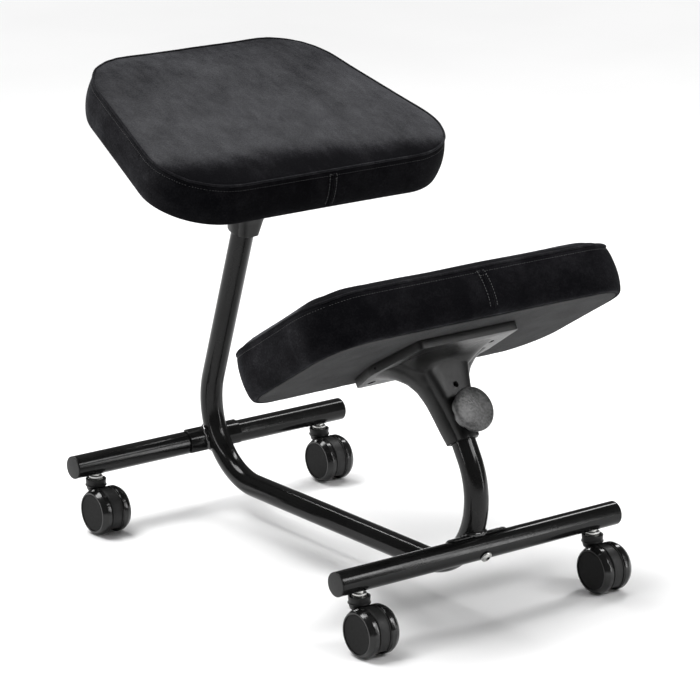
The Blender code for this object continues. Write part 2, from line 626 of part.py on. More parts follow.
def make_knob(axis):
    """The clamp screw: a brass insert in the bracket, a stud in it and the knob on the stud.
    Its local Z points away from the post."""
    knob_axis = empty("knob_axis", (0, 0, -KNOB_DROP), (90, 0, 0), parent=axis)
    ring("knob_insert", STUD_R + GAP, INSERT_R, SOCKET_BORE_R + INSERT_START, KNOB_STAND_OFF - INSERT_END_GAP,
         "brass", parent=knob_axis)
    stud_top = KNOB_STAND_OFF + STUD_INTO_KNOB
    tip = STEEL_TUBE_R + GAP
    profile = [(0, tip), (STUD_R - STUD_CHAMFER, tip), (STUD_R, tip + STUD_CHAMFER), (STUD_R, stud_top),
               (0, stud_top)]
    turned("knob_stud", profile, "zinc_steel", ROUND_STEPS, parent=knob_axis)
    knob = plate("clamp_knob", knob_outline(), KNOB_STAND_OFF, KNOB_STAND_OFF + KNOB_HEIGHT,
                 "plastic_black_matt", parent=knob_axis)
    bevel(knob, KNOB_ROUND, 2, 60)
    hole = add("knob_hole", rod_mesh("hole", STUD_R + GAP, 0.0, stud_top + GAP, ROUND_STEPS), None,
               parent=knob_axis)
    cut(knob, hole)


def make_seat():
    y, z = bend_end(1, SEAT_LEAN)
    lean = radians(SEAT_LEAN)
    axis = empty("seat_axis", (0, y - SEAT_POST_LENGTH * sin(lean), z + SEAT_POST_LENGTH * cos(lean)),
                 (SEAT_LEAN, 0, 0))

    def outline(inset=0.0):
        return pad_outline(SEAT_FRONT_WIDTH, SEAT_BACK_WIDTH, SEAT_DEPTH, SEAT_CORNER_R, SEAT_OFFSET, inset)

    make_pad("seat", axis, outline, SEAT_THICKNESS)
    make_bracket("seat_bracket", axis, with_knob=False)


def make_knee_rest():
    y, z = bend_end(-1, KNEE_LEAN)
    lean = radians(KNEE_LEAN)
    axis = empty("knee_axis", (0, y + KNEE_POST_LENGTH * sin(lean), z + KNEE_POST_LENGTH * cos(lean)),
                 (-KNEE_LEAN, 0, 0))

    def outline(inset=0.0):
        return pad_outline(KNEE_WIDTH, KNEE_WIDTH, KNEE_DEPTH, KNEE_CORNER_R, KNEE_OFFSET, inset)

    make_pad("knee", axis, outline, KNEE_THICKNESS)
    make_bracket("knee_bracket", axis, with_knob=True)
    make_knob(axis)


def main():
    clear_scene()
    make_main_tube()
    for word, side in (("front", -1), ("rear", 1)):
        axis = bar_frame(side)
        make_crossbar(word, side, axis)
        make_saddle(word, axis)
        make_bar_fixing(word, axis)
        for hand_word, hand in (("left", -1), ("right", 1)):
            make_caster(f"{word}_{hand_word}", hand * STEM_X, BAR_Y[side])
    make_seat()
    make_knee_rest()


main()
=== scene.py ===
"""The looks of a kneeling chair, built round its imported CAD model.

Metres, +Z up, -Y is the front. Places come from the frame: the joints, the mounts and the
boxes of the CAD nodes. A pad's own frame has its underside at Z = 0 and its front towards -Y.
"""
from math import acos, asin, atan2, ceil, cos, degrees, hypot, pi, radians, sin, sqrt, tan
import json

import bmesh
import bpy
import numpy as np
from mathutils import Matrix, Vector, noise
from mathutils.bvhtree import BVHTree


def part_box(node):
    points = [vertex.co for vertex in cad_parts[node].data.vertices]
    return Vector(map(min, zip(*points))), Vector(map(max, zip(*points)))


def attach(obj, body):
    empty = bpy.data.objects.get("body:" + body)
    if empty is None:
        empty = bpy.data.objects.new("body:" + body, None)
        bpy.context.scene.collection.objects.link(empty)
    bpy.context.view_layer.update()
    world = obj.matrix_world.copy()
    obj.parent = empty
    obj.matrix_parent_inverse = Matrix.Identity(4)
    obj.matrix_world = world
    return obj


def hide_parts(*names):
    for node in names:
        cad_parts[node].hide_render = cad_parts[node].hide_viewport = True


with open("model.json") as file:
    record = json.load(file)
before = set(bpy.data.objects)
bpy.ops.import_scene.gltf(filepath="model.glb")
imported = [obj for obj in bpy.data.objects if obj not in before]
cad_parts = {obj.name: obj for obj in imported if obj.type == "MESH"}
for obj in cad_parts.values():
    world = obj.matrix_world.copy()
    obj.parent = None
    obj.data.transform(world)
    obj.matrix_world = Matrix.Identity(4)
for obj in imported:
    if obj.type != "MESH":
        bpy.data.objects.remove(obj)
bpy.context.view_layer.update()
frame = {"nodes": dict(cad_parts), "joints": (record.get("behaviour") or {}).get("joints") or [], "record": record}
random = np.random.default_rng(7)

# ---- sizes shared with the CAD
TUBE_R, BEND_R = 0.015, 0.098
SADDLE_IN_R, SADDLE_OUT_R, SADDLE_LENGTH = 0.0153, 0.0178, 0.080
SADDLE_SPREAD = 66.0                    # degrees to each side of its middle
SEAT = dict(front=0.470, back=0.346, depth=0.330, corner=0.085, thickness=0.055, offset=0.016)
KNEE = dict(front=0.464, back=0.464, depth=0.246, corner=0.068, thickness=0.060, offset=-0.0144)
FLANGE_TOP, FLANGE_BOTTOM = -0.0018, -0.0128
SOCKET_DEPTH, SOCKET_BORE_R = 0.117, 0.0153
POST_TOP = -0.0168
HOLES = [(x, y) for y in (-0.036, 0.058) for x in (-0.0585, 0.0585)]
SCREW_RECESS_R = 0.0056
KNOB_HEIGHT, KNOB_STAND_OFF = 0.015, 0.0285
INSERT_SEAT_R = 0.0069
BOLT_R, BOLT_HEAD_R = 0.004, 0.0072
WHEEL_R, WHEEL_WIDTH = 0.030, 0.0130
HOOD_HALF_WIDTH = 0.0082
WHEEL_INNER_X = 0.0086
COLLAR_TOP = 0.0676
STEM_R = 0.0055

# ---- sizes of the looks only
BEAD_R = 0.0036                         # the weld bead
SLEEVE_R = 0.0193                       # the outside of a bracket's sleeve at its lip
TRUNK_STEPS = 128                       # points round a bracket's trunk
BORE_RIM_R = 0.0125                     # the flat ring under the knob
SEAM_INSET = 0.0022                     # from the pad's outline in to the seam of its top panel
CLOTH_CELL = 0.0062                     # between neighbouring points of the cloth
CLOTH_FRAMES = 20
CLOTH_REACH = 0.0034                    # the most that the blown-up cloth may move
HEM_INSET, HEM_TOP = 0.0131, 0.0106     # the cover's closed side, inside the hem and above the board
STITCH_PITCH, STITCH_LENGTH = 0.0036, 0.0021
LINING_INSET = 0.0095                   # from the pad's outline in to the dust cover's edge
LINING_THICKNESS, LINING_CELL = 0.0005, 0.0052


# ---- places read from the frame
def frame_matrix(origin, x, y, z):
    return Matrix.Translation(origin) @ Matrix((x, y, z)).transposed().to_4x4()


def pad_frame(mount_name, size):
    """The pad's own frame, found from the mount in the middle of its top."""
    mount = next(m for m in frame["record"]["mounts"] if m["name"] == mount_name)
    up = Vector(mount["axis"]).normalized()
    across = Vector((1, 0, 0))
    back = up.cross(across)
    origin = Vector(mount["pos_m"]) - up * size["thickness"] - back * size["offset"]
    return frame_matrix(origin, across, back, up)


def joint(name):
    return next(j for j in frame["joints"] if j["name"] == name)


SEAT_FRAME = pad_frame("seat_top", SEAT)
KNEE_FRAME = pad_frame("knee_pad_top", KNEE)
CORNERS = [f"{a}_{b}" for a in ("front", "rear") for b in ("left", "right")]


# ---- mesh helpers
def surface(rows, wrap=True, caps=True):
    """Vertices and faces of a grid of points. Wrapped rows are loops, and caps close the first and last."""
    rows = np.asarray(rows, float)
    count, width = rows.shape[:2]
    faces = []
    for i in range(count - 1):
        for j in range(width if wrap else width - 1):
            k = (j + 1) % width
            faces.append((i * width + j, i * width + k, (i + 1) * width + k, (i + 1) * width + j))
    if caps:
        faces.append(tuple(range(width)))
        faces.append(tuple(range((count - 1) * width, count * width)))
    return rows.reshape(-1, 3), faces


def make_mesh(name, *shells, merge=1e-6):
    """One mesh from several surfaces, with its faces turned outwards."""
    bm = bmesh.new()
    for verts, faces in shells:
        made = [bm.verts.new(v) for v in verts]
        for face in faces:
            bm.faces.new([made[i] for i in face])
    bmesh.ops.remove_doubles(bm, verts=bm.verts, dist=merge)
    bmesh.ops.dissolve_degenerate(bm, edges=bm.edges, dist=merge)
    bmesh.ops.recalc_face_normals(bm, faces=bm.faces)
    mesh = bpy.data.meshes.new(name)
    bm.to_mesh(mesh)
    bm.free()
    return mesh


def add_object(name, data):
    obj = bpy.data.objects.new(name, data)
    bpy.context.scene.collection.objects.link(obj)
    return obj


def applied(obj):
    """The object's mesh with its modifiers applied."""
    bpy.context.view_layer.update()
    return bpy.data.meshes.new_from_object(obj.evaluated_get(bpy.context.evaluated_depsgraph_get()))


def place(name, mesh, look, body, at=Matrix.Identity(4), replaces=None, sharp=35.0):
    """Put a mesh in the scene as a finished piece. Edges above sharp degrees stay crisp."""
    obj = add_object(name, mesh)
    obj.matrix_world = at
    if not mesh.materials:
        mesh.materials.append(look)
    mesh.shade_smooth()
    mesh.set_sharp_from_angle(angle=radians(sharp))
    if replaces:
        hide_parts(replaces)
    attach(obj, body)
    return obj


def carve(mesh, *cutters):
    """Cut the cutters' meshes out of a mesh."""
    target = add_object("carved", mesh)
    helpers = []
    for cutter in cutters:
        helpers.append(add_object("cutter", cutter))
        cut = target.modifiers.new("cut", "BOOLEAN")
        cut.operation = "DIFFERENCE"
        cut.solver = "EXACT"
        cut.object = helpers[-1]
    result = applied(target)
    result.name = mesh.name
    for obj in (target, *helpers):
        bpy.data.objects.remove(obj, do_unlink=True)
    return result


def two_looks(mesh, outside, inside, radius, low, high):
    """Give a turned mesh one look, and another on the faces within a radius and between two heights."""
    mesh.materials.append(outside)
    mesh.materials.append(inside)
    for face in mesh.polygons:
        x, y, z = face.center
        face.material_index = int(hypot(x, y) < radius and low < z < high)


def arc(cx, cy, radius, start, end, steps):
    angles = [radians(start + (end - start) * i / steps) for i in range(steps + 1)]
    return [(cx + radius * cos(a), cy + radius * sin(a)) for a in angles]


def rounded(corners, steps):
    """The outline through corners (x, y), or (x, y, radius) where a corner is rounded."""
    outline = []
    for i, corner in enumerate(corners):
        if len(corner) == 2:
            outline.append(corner)
            continue
        radius = corner[2]
        here, before, after = (Vector(corners[k % len(corners)][:2]) for k in (i, i - 1, i + 1))
        back, ahead = (before - here).normalized(), (after - here).normalized()
        half = acos(max(-1.0, min(1.0, back.dot(ahead)))) / 2
        centre = here + (back + ahead).normalized() * radius / sin(half)
        first = here + back * radius / tan(half) - centre
        last = here + ahead * radius / tan(half) - centre
        start = degrees(atan2(first.y, first.x))
        turn = (degrees(atan2(last.y, last.x)) - start + 180) % 360 - 180
        outline += arc(centre.x, centre.y, radius, start, start + turn, steps)
    return outline


def angles(count):
    """Evenly spaced angles round a full turn."""
    return [2 * pi * k / count for k in range(count)]


def turned(profile, steps=64):
    """A (radius, height) profile turned about Z. It starts and ends on Z, or at the same point."""
    return surface([[(r * cos(a), r * sin(a), z) for a in angles(steps)] for r, z in profile], caps=False)


def offset_loop(loop, distance):
    """A closed 2D loop moved outwards along its normals. The loop runs counter-clockwise."""
    loop = np.asarray(loop, float)
    along = np.roll(loop, -1, 0) - np.roll(loop, 1, 0)
    along /= np.linalg.norm(along, axis=1)[:, None]
    return loop + np.stack([along[:, 1], -along[:, 0]], 1) * distance


def at_height(loop, z):
    return np.c_[loop, np.full(len(loop), z)]


def slab(outline, z0, z1, edge, steps=4):
    """A flat body with the outline, its edges rounded by edge."""
    quarter = [pi / 2 * k / steps for k in range(steps + 1)]
    rows = [(edge * (sin(a) - 1), z0 + edge * (1 - cos(a))) for a in quarter]
    rows += [(edge * (cos(a) - 1), z1 - edge * (1 - sin(a))) for a in quarter]
    return surface([at_height(offset_loop(outline, d), z) for d, z in rows])


def sweep(path, radius, sides, side_vector, closed=False):
    """A round bar along a path of points. radius is one number or one for each point."""
    path, side = np.asarray(path, float), np.asarray(side_vector, float)
    along = np.roll(path, -1, 0) - np.roll(path, 1, 0) if closed else np.gradient(path, axis=0)
    along /= np.linalg.norm(along, axis=1)[:, None]
    across = side - (along @ side)[:, None] * along
    across /= np.linalg.norm(across, axis=1)[:, None]
    third = np.cross(along, across)
    turn = np.array(angles(sides))[None, :, None]
    ring = np.cos(turn) * across[:, None] + np.sin(turn) * third[:, None]
    rows = path[:, None] + ring * np.broadcast_to(radius, len(path))[:, None, None]
    if closed:
        rows = np.concatenate([rows, rows[:1]])
    return surface(rows, caps=not closed)


def resample(points, count, closed=False):
    """Points evenly spaced along a polyline."""
    points = np.asarray(points, float)
    if closed:
        points = np.concatenate([points, points[:1]])
    length = np.concatenate([[0], np.cumsum(np.linalg.norm(np.diff(points, axis=0), axis=1))])
    at = np.linspace(0, length[-1], count + (1 if closed else 0))[:count]
    return np.stack([np.interp(at, length, points[:, k]) for k in range(points.shape[1])], 1)


def moved(shell, matrix):
    verts, faces = shell
    rotation, shift = np.array(matrix)[:3, :3], np.array(matrix)[:3, 3]
    return np.asarray(verts) @ rotation.T + shift, faces


def sideways(origin, hand=1):
    """A frame with its Z along X, to the right, or to the left for hand -1."""
    return Matrix.Translation(origin) @ Matrix.Rotation(radians(90 * hand), 4, "Y")


def forwards(height):
    """A frame at a height on a pad's Z, with its own Z towards the front."""
    return Matrix.Translation((0, 0, height)) @ Matrix.Rotation(radians(90), 4, "X")


def rod(radius, z0, z1, steps=32):
    return turned([(0, z0), (radius, z0), (radius, z1), (0, z1)], steps)


def hexagon(across_flats, z0, z1):
    return rod(across_flats / sqrt(3), z0, z1, 6)


def ripple(point, scale, seed=0.0):
    """Smooth noise from -1 to 1, whose bumps are about scale across."""
    return noise.noise(Vector(point) / scale + Vector((seed, seed * 1.7, -seed)))


# ---- materials
class Look:
    """A node material. Its colour, roughness and bump come from noise in the piece's own space."""

    def __init__(self, name, **sockets):
        self.material = bpy.data.materials.new(name)
        self.material.use_nodes = True
        self.tree = self.material.node_tree
        self.shader = self.tree.nodes["Principled BSDF"]
        self.space = self.node("ShaderNodeTexCoord").outputs["Object"]
        for socket, value in sockets.items():
            self.shader.inputs[socket.replace("_", " ")].default_value = value

    def node(self, kind, **settings):
        made = self.tree.nodes.new(kind)
        for key, value in settings.items():
            setattr(made, key, value)
        return made

    def link(self, output, target):
        self.tree.links.new(output, target)

    def stretched(self, scale):
        mapping = self.node("ShaderNodeMapping")
        mapping.inputs["Scale"].default_value = scale
        self.link(self.space, mapping.inputs["Vector"])
        return mapping.outputs["Vector"]

    def noise(self, scale, detail=3.0, space=None, roughness=0.5):
        made = self.node("ShaderNodeTexNoise")
        made.inputs["Scale"].default_value = scale
        made.inputs["Detail"].default_value = detail
        made.inputs["Roughness"].default_value = roughness
        self.link(space or self.space, made.inputs["Vector"])
        return made.outputs["Fac"]

    def cells(self, scale):
        made = self.node("ShaderNodeTexVoronoi")
        made.inputs["Scale"].default_value = scale
        self.link(self.space, made.inputs["Vector"])
        return made.outputs["Distance"]

    def attribute(self, name):
        return self.node("ShaderNodeAttribute", attribute_name=name).outputs["Fac"]

    def mixed(self, first, second, share):
        """share of the second value and the rest of the first."""
        made = self.node("ShaderNodeMix", data_type="FLOAT")
        made.inputs["Factor"].default_value = share
        self.link(first, made.inputs["A"])
        self.link(second, made.inputs["B"])
        return made.outputs["Result"]

    def between(self, value, low, high, start=0.3, end=0.7):
        made = self.node("ShaderNodeMapRange")
        for socket, number in (("From Min", start), ("From Max", end), ("To Min", low), ("To Max", high)):
            made.inputs[socket].default_value = number
        self.link(value, made.inputs["Value"])
        return made.outputs["Result"]

    def colour(self, value, *stops):
        """Colours along a ramp, as (position, (r, g, b)) pairs."""
        ramp = self.node("ShaderNodeValToRGB")
        while len(ramp.color_ramp.elements) < len(stops):
            ramp.color_ramp.elements.new(0.5)
        for element, (position, rgb) in zip(ramp.color_ramp.elements, stops):
            element.position = position
            element.color = (*rgb, 1.0)
        self.link(value, ramp.inputs["Fac"])
        self.link(ramp.outputs["Color"], self.shader.inputs["Base Color"])

    def roughness(self, value, low, high):
        self.link(self.between(value, low, high), self.shader.inputs["Roughness"])

    def bump(self, height, distance, strength):
        made = self.node("ShaderNodeBump")
        made.inputs["Strength"].default_value = strength
        made.inputs["Distance"].default_value = distance
        self.link(height, made.inputs["Height"])
        before = self.shader.inputs["Normal"].links
        if before:
            self.link(before[0].from_socket, made.inputs["Normal"])
        self.link(made.outputs["Normal"], self.shader.inputs["Normal"])


def grey(value):
    return (value, value, value)


def powder_coat(name, smooth, rough, gloss):
    look = Look(name, Specular_IOR_Level=gloss)
    cloud, peel = look.noise(26), look.noise(520, 2.0)
    look.colour(cloud, (0.35, grey(0.0045)), (0.65, grey(0.0075)))
    look.roughness(look.mixed(cloud, look.noise(190, 4.0), 0.5), smooth, rough)
    look.bump(peel, 0.00010, 0.35)
    return look.material


def moulded_plastic(name, dark, light, rough, grain=1500.0, depth=0.00012, gloss=0.5):
    look = Look(name, Specular_IOR_Level=gloss)
    cloud = look.noise(34, 4.0)
    look.colour(look.mixed(cloud, look.noise(grain, 2.0), 0.4), (0.38, grey(dark)), (0.62, grey(light)))
    look.roughness(look.mixed(cloud, look.noise(260, 3.0), 0.5), rough - 0.06, rough + 0.07)
    look.bump(look.noise(grain, 3.0, roughness=0.6), depth, 0.6)
    return look.material


def plated(name, dark, light, rough):
    look = Look(name, Metallic=1.0)
    cloud = look.noise(140, 4.0)
    streaks = look.noise(160, 4.0, look.stretched((1, 1, 14)))
    look.colour(look.mixed(cloud, streaks, 0.5), (0.3, dark), (0.7, light))
    look.roughness(streaks, rough - 0.07, rough + 0.1)
    look.bump(streaks, 0.00004, 0.4)
    return look.material


def velvet():
    """Short-pile microfibre. Shade and sheen are painted into it through a point attribute: 0 where the cloth is
    painted dark in shade, 1 where it is painted light with sheen.
    """
    look = Look("velvet", Sheen_Roughness=0.45, Sheen_Tint=(0.88, 0.90, 1.0, 1.0), Specular_IOR_Level=0.04)
    blotches = look.noise(15, 5.0, roughness=0.66)
    brushed = look.noise(80, 5.0, look.stretched((1.0, 0.42, 1.0)), 0.66)
    fuzz = look.noise(460, 4.0, roughness=0.75)
    tone = look.mixed(look.mixed(blotches, brushed, 0.45), fuzz, 0.38)
    lifted = look.node("ShaderNodeMath", operation="ADD")
    look.link(look.between(tone, -0.22, 0.22, 0.36, 0.64), lifted.inputs[0])
    look.link(look.attribute("painted_sheen_and_shade"), lifted.inputs[1])
    look.colour(lifted.outputs[0], (0.0, (0.0018, 0.0018, 0.0025)), (0.3, (0.0085, 0.0084, 0.0096)),
                (0.65, (0.0330, 0.0330, 0.0350)), (1.0, (0.0640, 0.0640, 0.0670)))
    # painted sheen: the sheen's weight follows the painted shade and sheen
    look.link(look.between(lifted.outputs[0], 0.006, 0.13, 0.10, 0.75), look.shader.inputs["Sheen Weight"])
    look.roughness(brushed, 0.86, 1.0)
    look.bump(brushed, 0.0005, 0.5)
    look.bump(fuzz, 0.00035, 0.9)
    return look.material


def felt():
    """The non-woven cloth under the pads."""
    look = Look("dust_cover", Sheen_Weight=0.04, Sheen_Roughness=0.5, Specular_IOR_Level=0.10)
    dots = look.cells(620)
    fibres = look.noise(900, 4.0, look.stretched((1, 0.25, 1)), 0.7)
    cloud = look.noise(20, 5.0)
    look.colour(look.mixed(look.mixed(cloud, fibres, 0.4), dots, 0.2),
                (0.32, (0.006, 0.006, 0.0065)), (0.66, (0.036, 0.036, 0.037)))
    look.roughness(fibres, 0.82, 1.0)
    look.bump(dots, 0.0003, 0.5)
    look.bump(fibres, 0.0003, 0.6)
    return look.material


def thread(name, dark, light):
    look = Look(name, Sheen_Weight=0.1, Sheen_Roughness=0.4)
    twist = look.noise(1800, 2.0)
    look.colour(twist, (0.3, grey(dark)), (0.7, grey(light)))
    look.roughness(twist, 0.55, 0.8)
    look.bump(twist, 0.0002, 0.8)
    return look.material


def plywood():
    look = Look("plywood", Specular_IOR_Level=0.3)
    grain = look.noise(60, 6.0, look.stretched((0.12, 1.6, 1.6)), 0.65)
    look.colour(look.mixed(grain, look.noise(9, 3.0), 0.3),
                (0.3, (0.33, 0.20, 0.10)), (0.7, (0.60, 0.43, 0.26)))
    look.roughness(grain, 0.6, 0.8)
    look.bump(grain, 0.0003, 0.5)
    return look.material


def pale_floor():
    look = Look("floor", Specular_IOR_Level=0.3)
    cloud = look.noise(1.2, 3.0)
    look.colour(cloud, (0.3, grey(0.91)), (0.7, grey(0.94)))
    look.roughness(cloud, 0.6, 0.7)
    return look.material


POWDER = powder_coat("powder_coat", 0.10, 0.18, 0.21)
WELD_COAT = powder_coat("weld_coat", 0.05, 0.12, 0.8)
PLASTIC = moulded_plastic("black_plastic", 0.006, 0.011, 0.46, gloss=0.3)
BRACKET_PLASTIC = moulded_plastic("bracket_plastic", 0.004, 0.009, 0.38, 900.0, 0.00016, 0.26)
# the bump is the knob's grain; the light specks in its colour, up to 0.110, are painted glints
KNOB_PLASTIC = moulded_plastic("knob_plastic", 0.008, 0.110, 0.38, 330.0, 0.0007)
TREAD = moulded_plastic("wheel_tread", 0.004, 0.007, 0.16, 2600.0, 0.00003, 0.4)
WHEEL_FACE = moulded_plastic("wheel_face", 0.004, 0.007, 0.60, 2000.0, 0.00008, 0.16)
ZINC = plated("zinc", (0.36, 0.36, 0.35), (0.62, 0.62, 0.60), 0.27)
BRASS = plated("brass", (0.55, 0.38, 0.16), (0.80, 0.62, 0.32), 0.30)
VELVET = velvet()
FELT = felt()
THREAD = thread("thread", 0.020, 0.060)
SEAM_THREAD = thread("seam_thread", 0.05, 0.18)
PLYWOOD = plywood()
NODE_LOOKS = {"zinc": ZINC, "brass": BRASS, "plywood": PLYWOOD, "black_plastic": PLASTIC,
              "powder_coat": POWDER, "wheel_plastic": TREAD, "velvet": VELVET, "dust_cover": FELT}


# ---- the tube frame
def bar_places():
    """The middle of each bar, and how far it reaches to each side."""
    places = {}
    for word in ("front", "rear"):
        low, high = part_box(f"{word}_crossbar")
        places[word] = (Vector((0, (low.y + high.y) / 2, (low.z + high.z) / 2)), high.x)
    return places


def bend_centre(pad, side):
    """A bend touches the line of its pad's post, and its lowest point is the main tube's."""
    up, back = pad.col[2].xyz, pad.col[1].xyz
    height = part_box("main_tube")[0].z + TUBE_R + BEND_R
    start = pad.translation - back * side * BEND_R
    return start + up * (height - start.z) / up.z


def main_tube_path():
    """The centreline from the seat, round the rear bend, forwards, and up to the knee pad."""
    path = []
    for pad, side in ((SEAT_FRAME, 1), (KNEE_FRAME, -1)):
        centre = bend_centre(pad, side)
        lean = degrees(atan2(-side * pad.col[2].y, pad.col[2].z))
        start, end = 90 - side * (90 - lean), 90 - side * 180
        bend = arc(centre.y, centre.z, BEND_R, start, end, ceil((90 + lean) / 2.5))
        tip = pad @ Vector((0, 0, POST_TOP))
        post = np.linspace(tip.yz, bend[0], 24)[:-1].tolist()
        path.append((post + bend)[::side])
    run = np.linspace(path[0][-1], path[1][0], 20)[1:-1].tolist()
    return np.array([(0, y, z) for y, z in path[0] + run + path[1]])


def weld_bead(name, rows, bar):
    """The uneven bead where the main tube's surface meets the outside of a saddle."""
    gap = np.hypot(rows[..., 1] - bar.y, rows[..., 2] - bar.z) - SADDLE_OUT_R
    ends = [[], []]
    for j in range(rows.shape[1]):
        crossing = np.flatnonzero((gap[:-1, j] > 0) != (gap[1:, j] > 0))
        if len(crossing) < 2:
            continue
        for side, i in enumerate((crossing[0], crossing[-1])):
            share = gap[i, j] / (gap[i, j] - gap[i + 1, j])
            ends[side].append(rows[i, j] * (1 - share) + rows[i + 1, j] * share)
    ends = [sorted(end, key=lambda p: p[0]) for end in ends]
    loop = resample(ends[0] + ends[1][::-1], 150, closed=True)
    radius = [BEAD_R + 0.0010 * ripple(p, BEAD_R) + 0.0007 * ripple(p, 0.009, 3) for p in loop]
    loop += [[0.0006 * ripple(p, 0.005, k) for k in (5, 8, 11)] for p in loop]
    bead = make_mesh(name, sweep(loop, radius, 14, (0.3, 0.2, 1), closed=True))
    place(name, bead, WELD_COAT, "frame", sharp=70)


def make_main_tube():
    """The bent tube with a notch for each saddle, and the two weld beads."""
    path = main_tube_path()
    sides, clearance = 64, 0.0003
    verts, faces = sweep(path, TUBE_R, sides, (1, 0, 0))
    notches = [make_mesh("notch", moved(rod(SADDLE_OUT_R + clearance, -0.05, 0.05, 96), sideways(bar)))
               for bar, _ in bar_places().values()]
    mesh = carve(make_mesh("main_tube_steel", (verts, faces)), *notches)
    place("main_tube_steel", mesh, POWDER, "frame", replaces="main_tube")
    rows = np.asarray(verts).reshape(-1, sides, 3)
    for word, (bar, _) in bar_places().items():
        weld_bead(f"{word}_weld_bead", rows, bar)


def make_bar(word, bar, reach):
    """One cross bar with its end caps, its saddle and its bolt."""
    tube = rounded([(0, -reach), (TUBE_R, -reach, 0.0006), (TUBE_R, reach, 0.0006), (0, reach)], 4)
    body = [(TUBE_R, x) for x in np.linspace(-reach + 0.001, reach - 0.001, 40)]
    middle = len(tube) // 2
    shape = moved(turned(tube[:middle] + body + tube[middle:], 80), sideways(bar))
    place(f"{word}_bar_tube", make_mesh("bar", shape), POWDER, "frame",
          replaces=f"{word}_crossbar")
    make_end_cap(f"{word}_left_end_cap", bar, reach, -1)
    make_end_cap(f"{word}_right_end_cap", bar, reach, 1)
    outward = saddle_frame(word, bar)
    make_saddle(word, outward)
    make_bar_bolt(word, outward)


def make_end_cap(name, bar, reach, hand):
    """A slightly domed disc over a bar's end, and the plug behind it."""
    outer = abs(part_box(name)[0 if hand < 0 else 1].x) - reach
    foot = 0.0003
    shape = rounded([(0, outer), (TUBE_R - 0.0004, outer * 0.86, 0.0007), (TUBE_R + 0.0001, foot, 0.0003),
                     (0.0126, foot), (0.0120, -0.012, 0.0005), (0, -0.012)], 5)
    disc = moved(turned(shape, 72), sideways((hand * reach, bar.y, bar.z), hand))
    place(f"{name}_disc", make_mesh(name, disc), PLASTIC, "frame", replaces=name)


def saddle_frame(word, bar):
    """The bar's middle, with Z along its bolt, out of the main tube, and Y up round the bar."""
    low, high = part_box(f"{word}_weld_nut")
    out = (bar - Vector((0, (low.y + high.y) / 2, (low.z + high.z) / 2))).normalized()
    across = Vector((1, 0, 0))
    return frame_matrix(bar, across, out.cross(across), out)


def make_saddle(word, at):
    """A half-round plate behind the bar, with round long edges."""
    mid, half = (SADDLE_IN_R + SADDLE_OUT_R) / 2, (SADDLE_OUT_R - SADDLE_IN_R) / 2
    low, high = 180 - SADDLE_SPREAD, 180 + SADDLE_SPREAD
    rim = []
    for radius, start, end, turn in ((SADDLE_OUT_R, low, high, 0), (SADDLE_IN_R, high, low, 180)):
        rim += arc(0, 0, radius, start, end, 40)
        x, y = mid * cos(radians(end)), mid * sin(radians(end))
        rim += arc(x, y, half, end + turn, end + turn + 180, 8)[1:-1]
    plate = slab(rim, -SADDLE_LENGTH / 2, SADDLE_LENGTH / 2, 0.0006)
    plate = make_mesh("saddle", moved(plate, at @ sideways((0, 0, 0), -1)))
    place(f"{word}_saddle_plate", plate, POWDER, "frame", replaces=f"{word}_saddle")


def make_bar_bolt(word, at):
    """A button-head bolt with a hexagon socket and a thin rim."""
    tip, rim = -0.026, 0.0011
    under = TUBE_R + 0.0004
    top = under + 0.0042
    dome = [(BOLT_HEAD_R * cos(a), under + rim + (top - under - rim) * sin(a))
            for a in np.linspace(0, pi / 2, 10)[:-1]]
    profile = [(0, tip), (BOLT_R - 0.0008, tip), (BOLT_R, tip + 0.0008), (BOLT_R, under),
               (BOLT_HEAD_R - 0.0003, under), (BOLT_HEAD_R, under + 0.0003), *dome, (0, top)]
    key = make_mesh("key", hexagon(0.0052, top - 0.0028, top + 0.002))
    mesh = carve(make_mesh("bolt", turned(profile)), key)
    # painted shade: the socket's faces take the black plastic, as dark as the shade in the recess
    two_looks(mesh, ZINC, PLASTIC, 0.0031, top - 0.004, top - 0.0006)
    place(f"{word}_button_bolt", mesh, ZINC, "frame", at, f"{word}_bar_bolt", 30)


# ---- casters
def wheel_mesh():
    """Half of a twin wheel: a matt disc inside a glossy tread. Z points outwards."""
    w, r = WHEEL_WIDTH, WHEEL_R
    disc = [(0, w - 0.0009), (0.0214, w - 0.0006, 0.004), (0.0236, w - 0.0006, 0.0006), (0.0236, w - 0.0016)]
    tread = [(0.0236, w - 0.0016), (0.0241, w - 0.0016, 0.0002), (0.0243, w, 0.0003), (0.0264, w, 0.0008),
             (0.0284, w - 0.0030, 0.0016), (r, w - 0.0064, 0.0028), (r, 0.0012, 0.0008),
             (r - 0.0012, 0, 0.0004), (0.0235, 0, 0.0004), (0.0230, 0.0012, 0.0004), (0.0033, 0.0012),
             (0.0033, w - 0.004), (0, w - 0.004)]
    mesh = make_mesh("wheel_half", turned(rounded(disc, 5) + rounded(tread, 5)[1:], 96))
    two_looks(mesh, TREAD, WHEEL_FACE, 0.0237, w - 0.003, w)
    return mesh


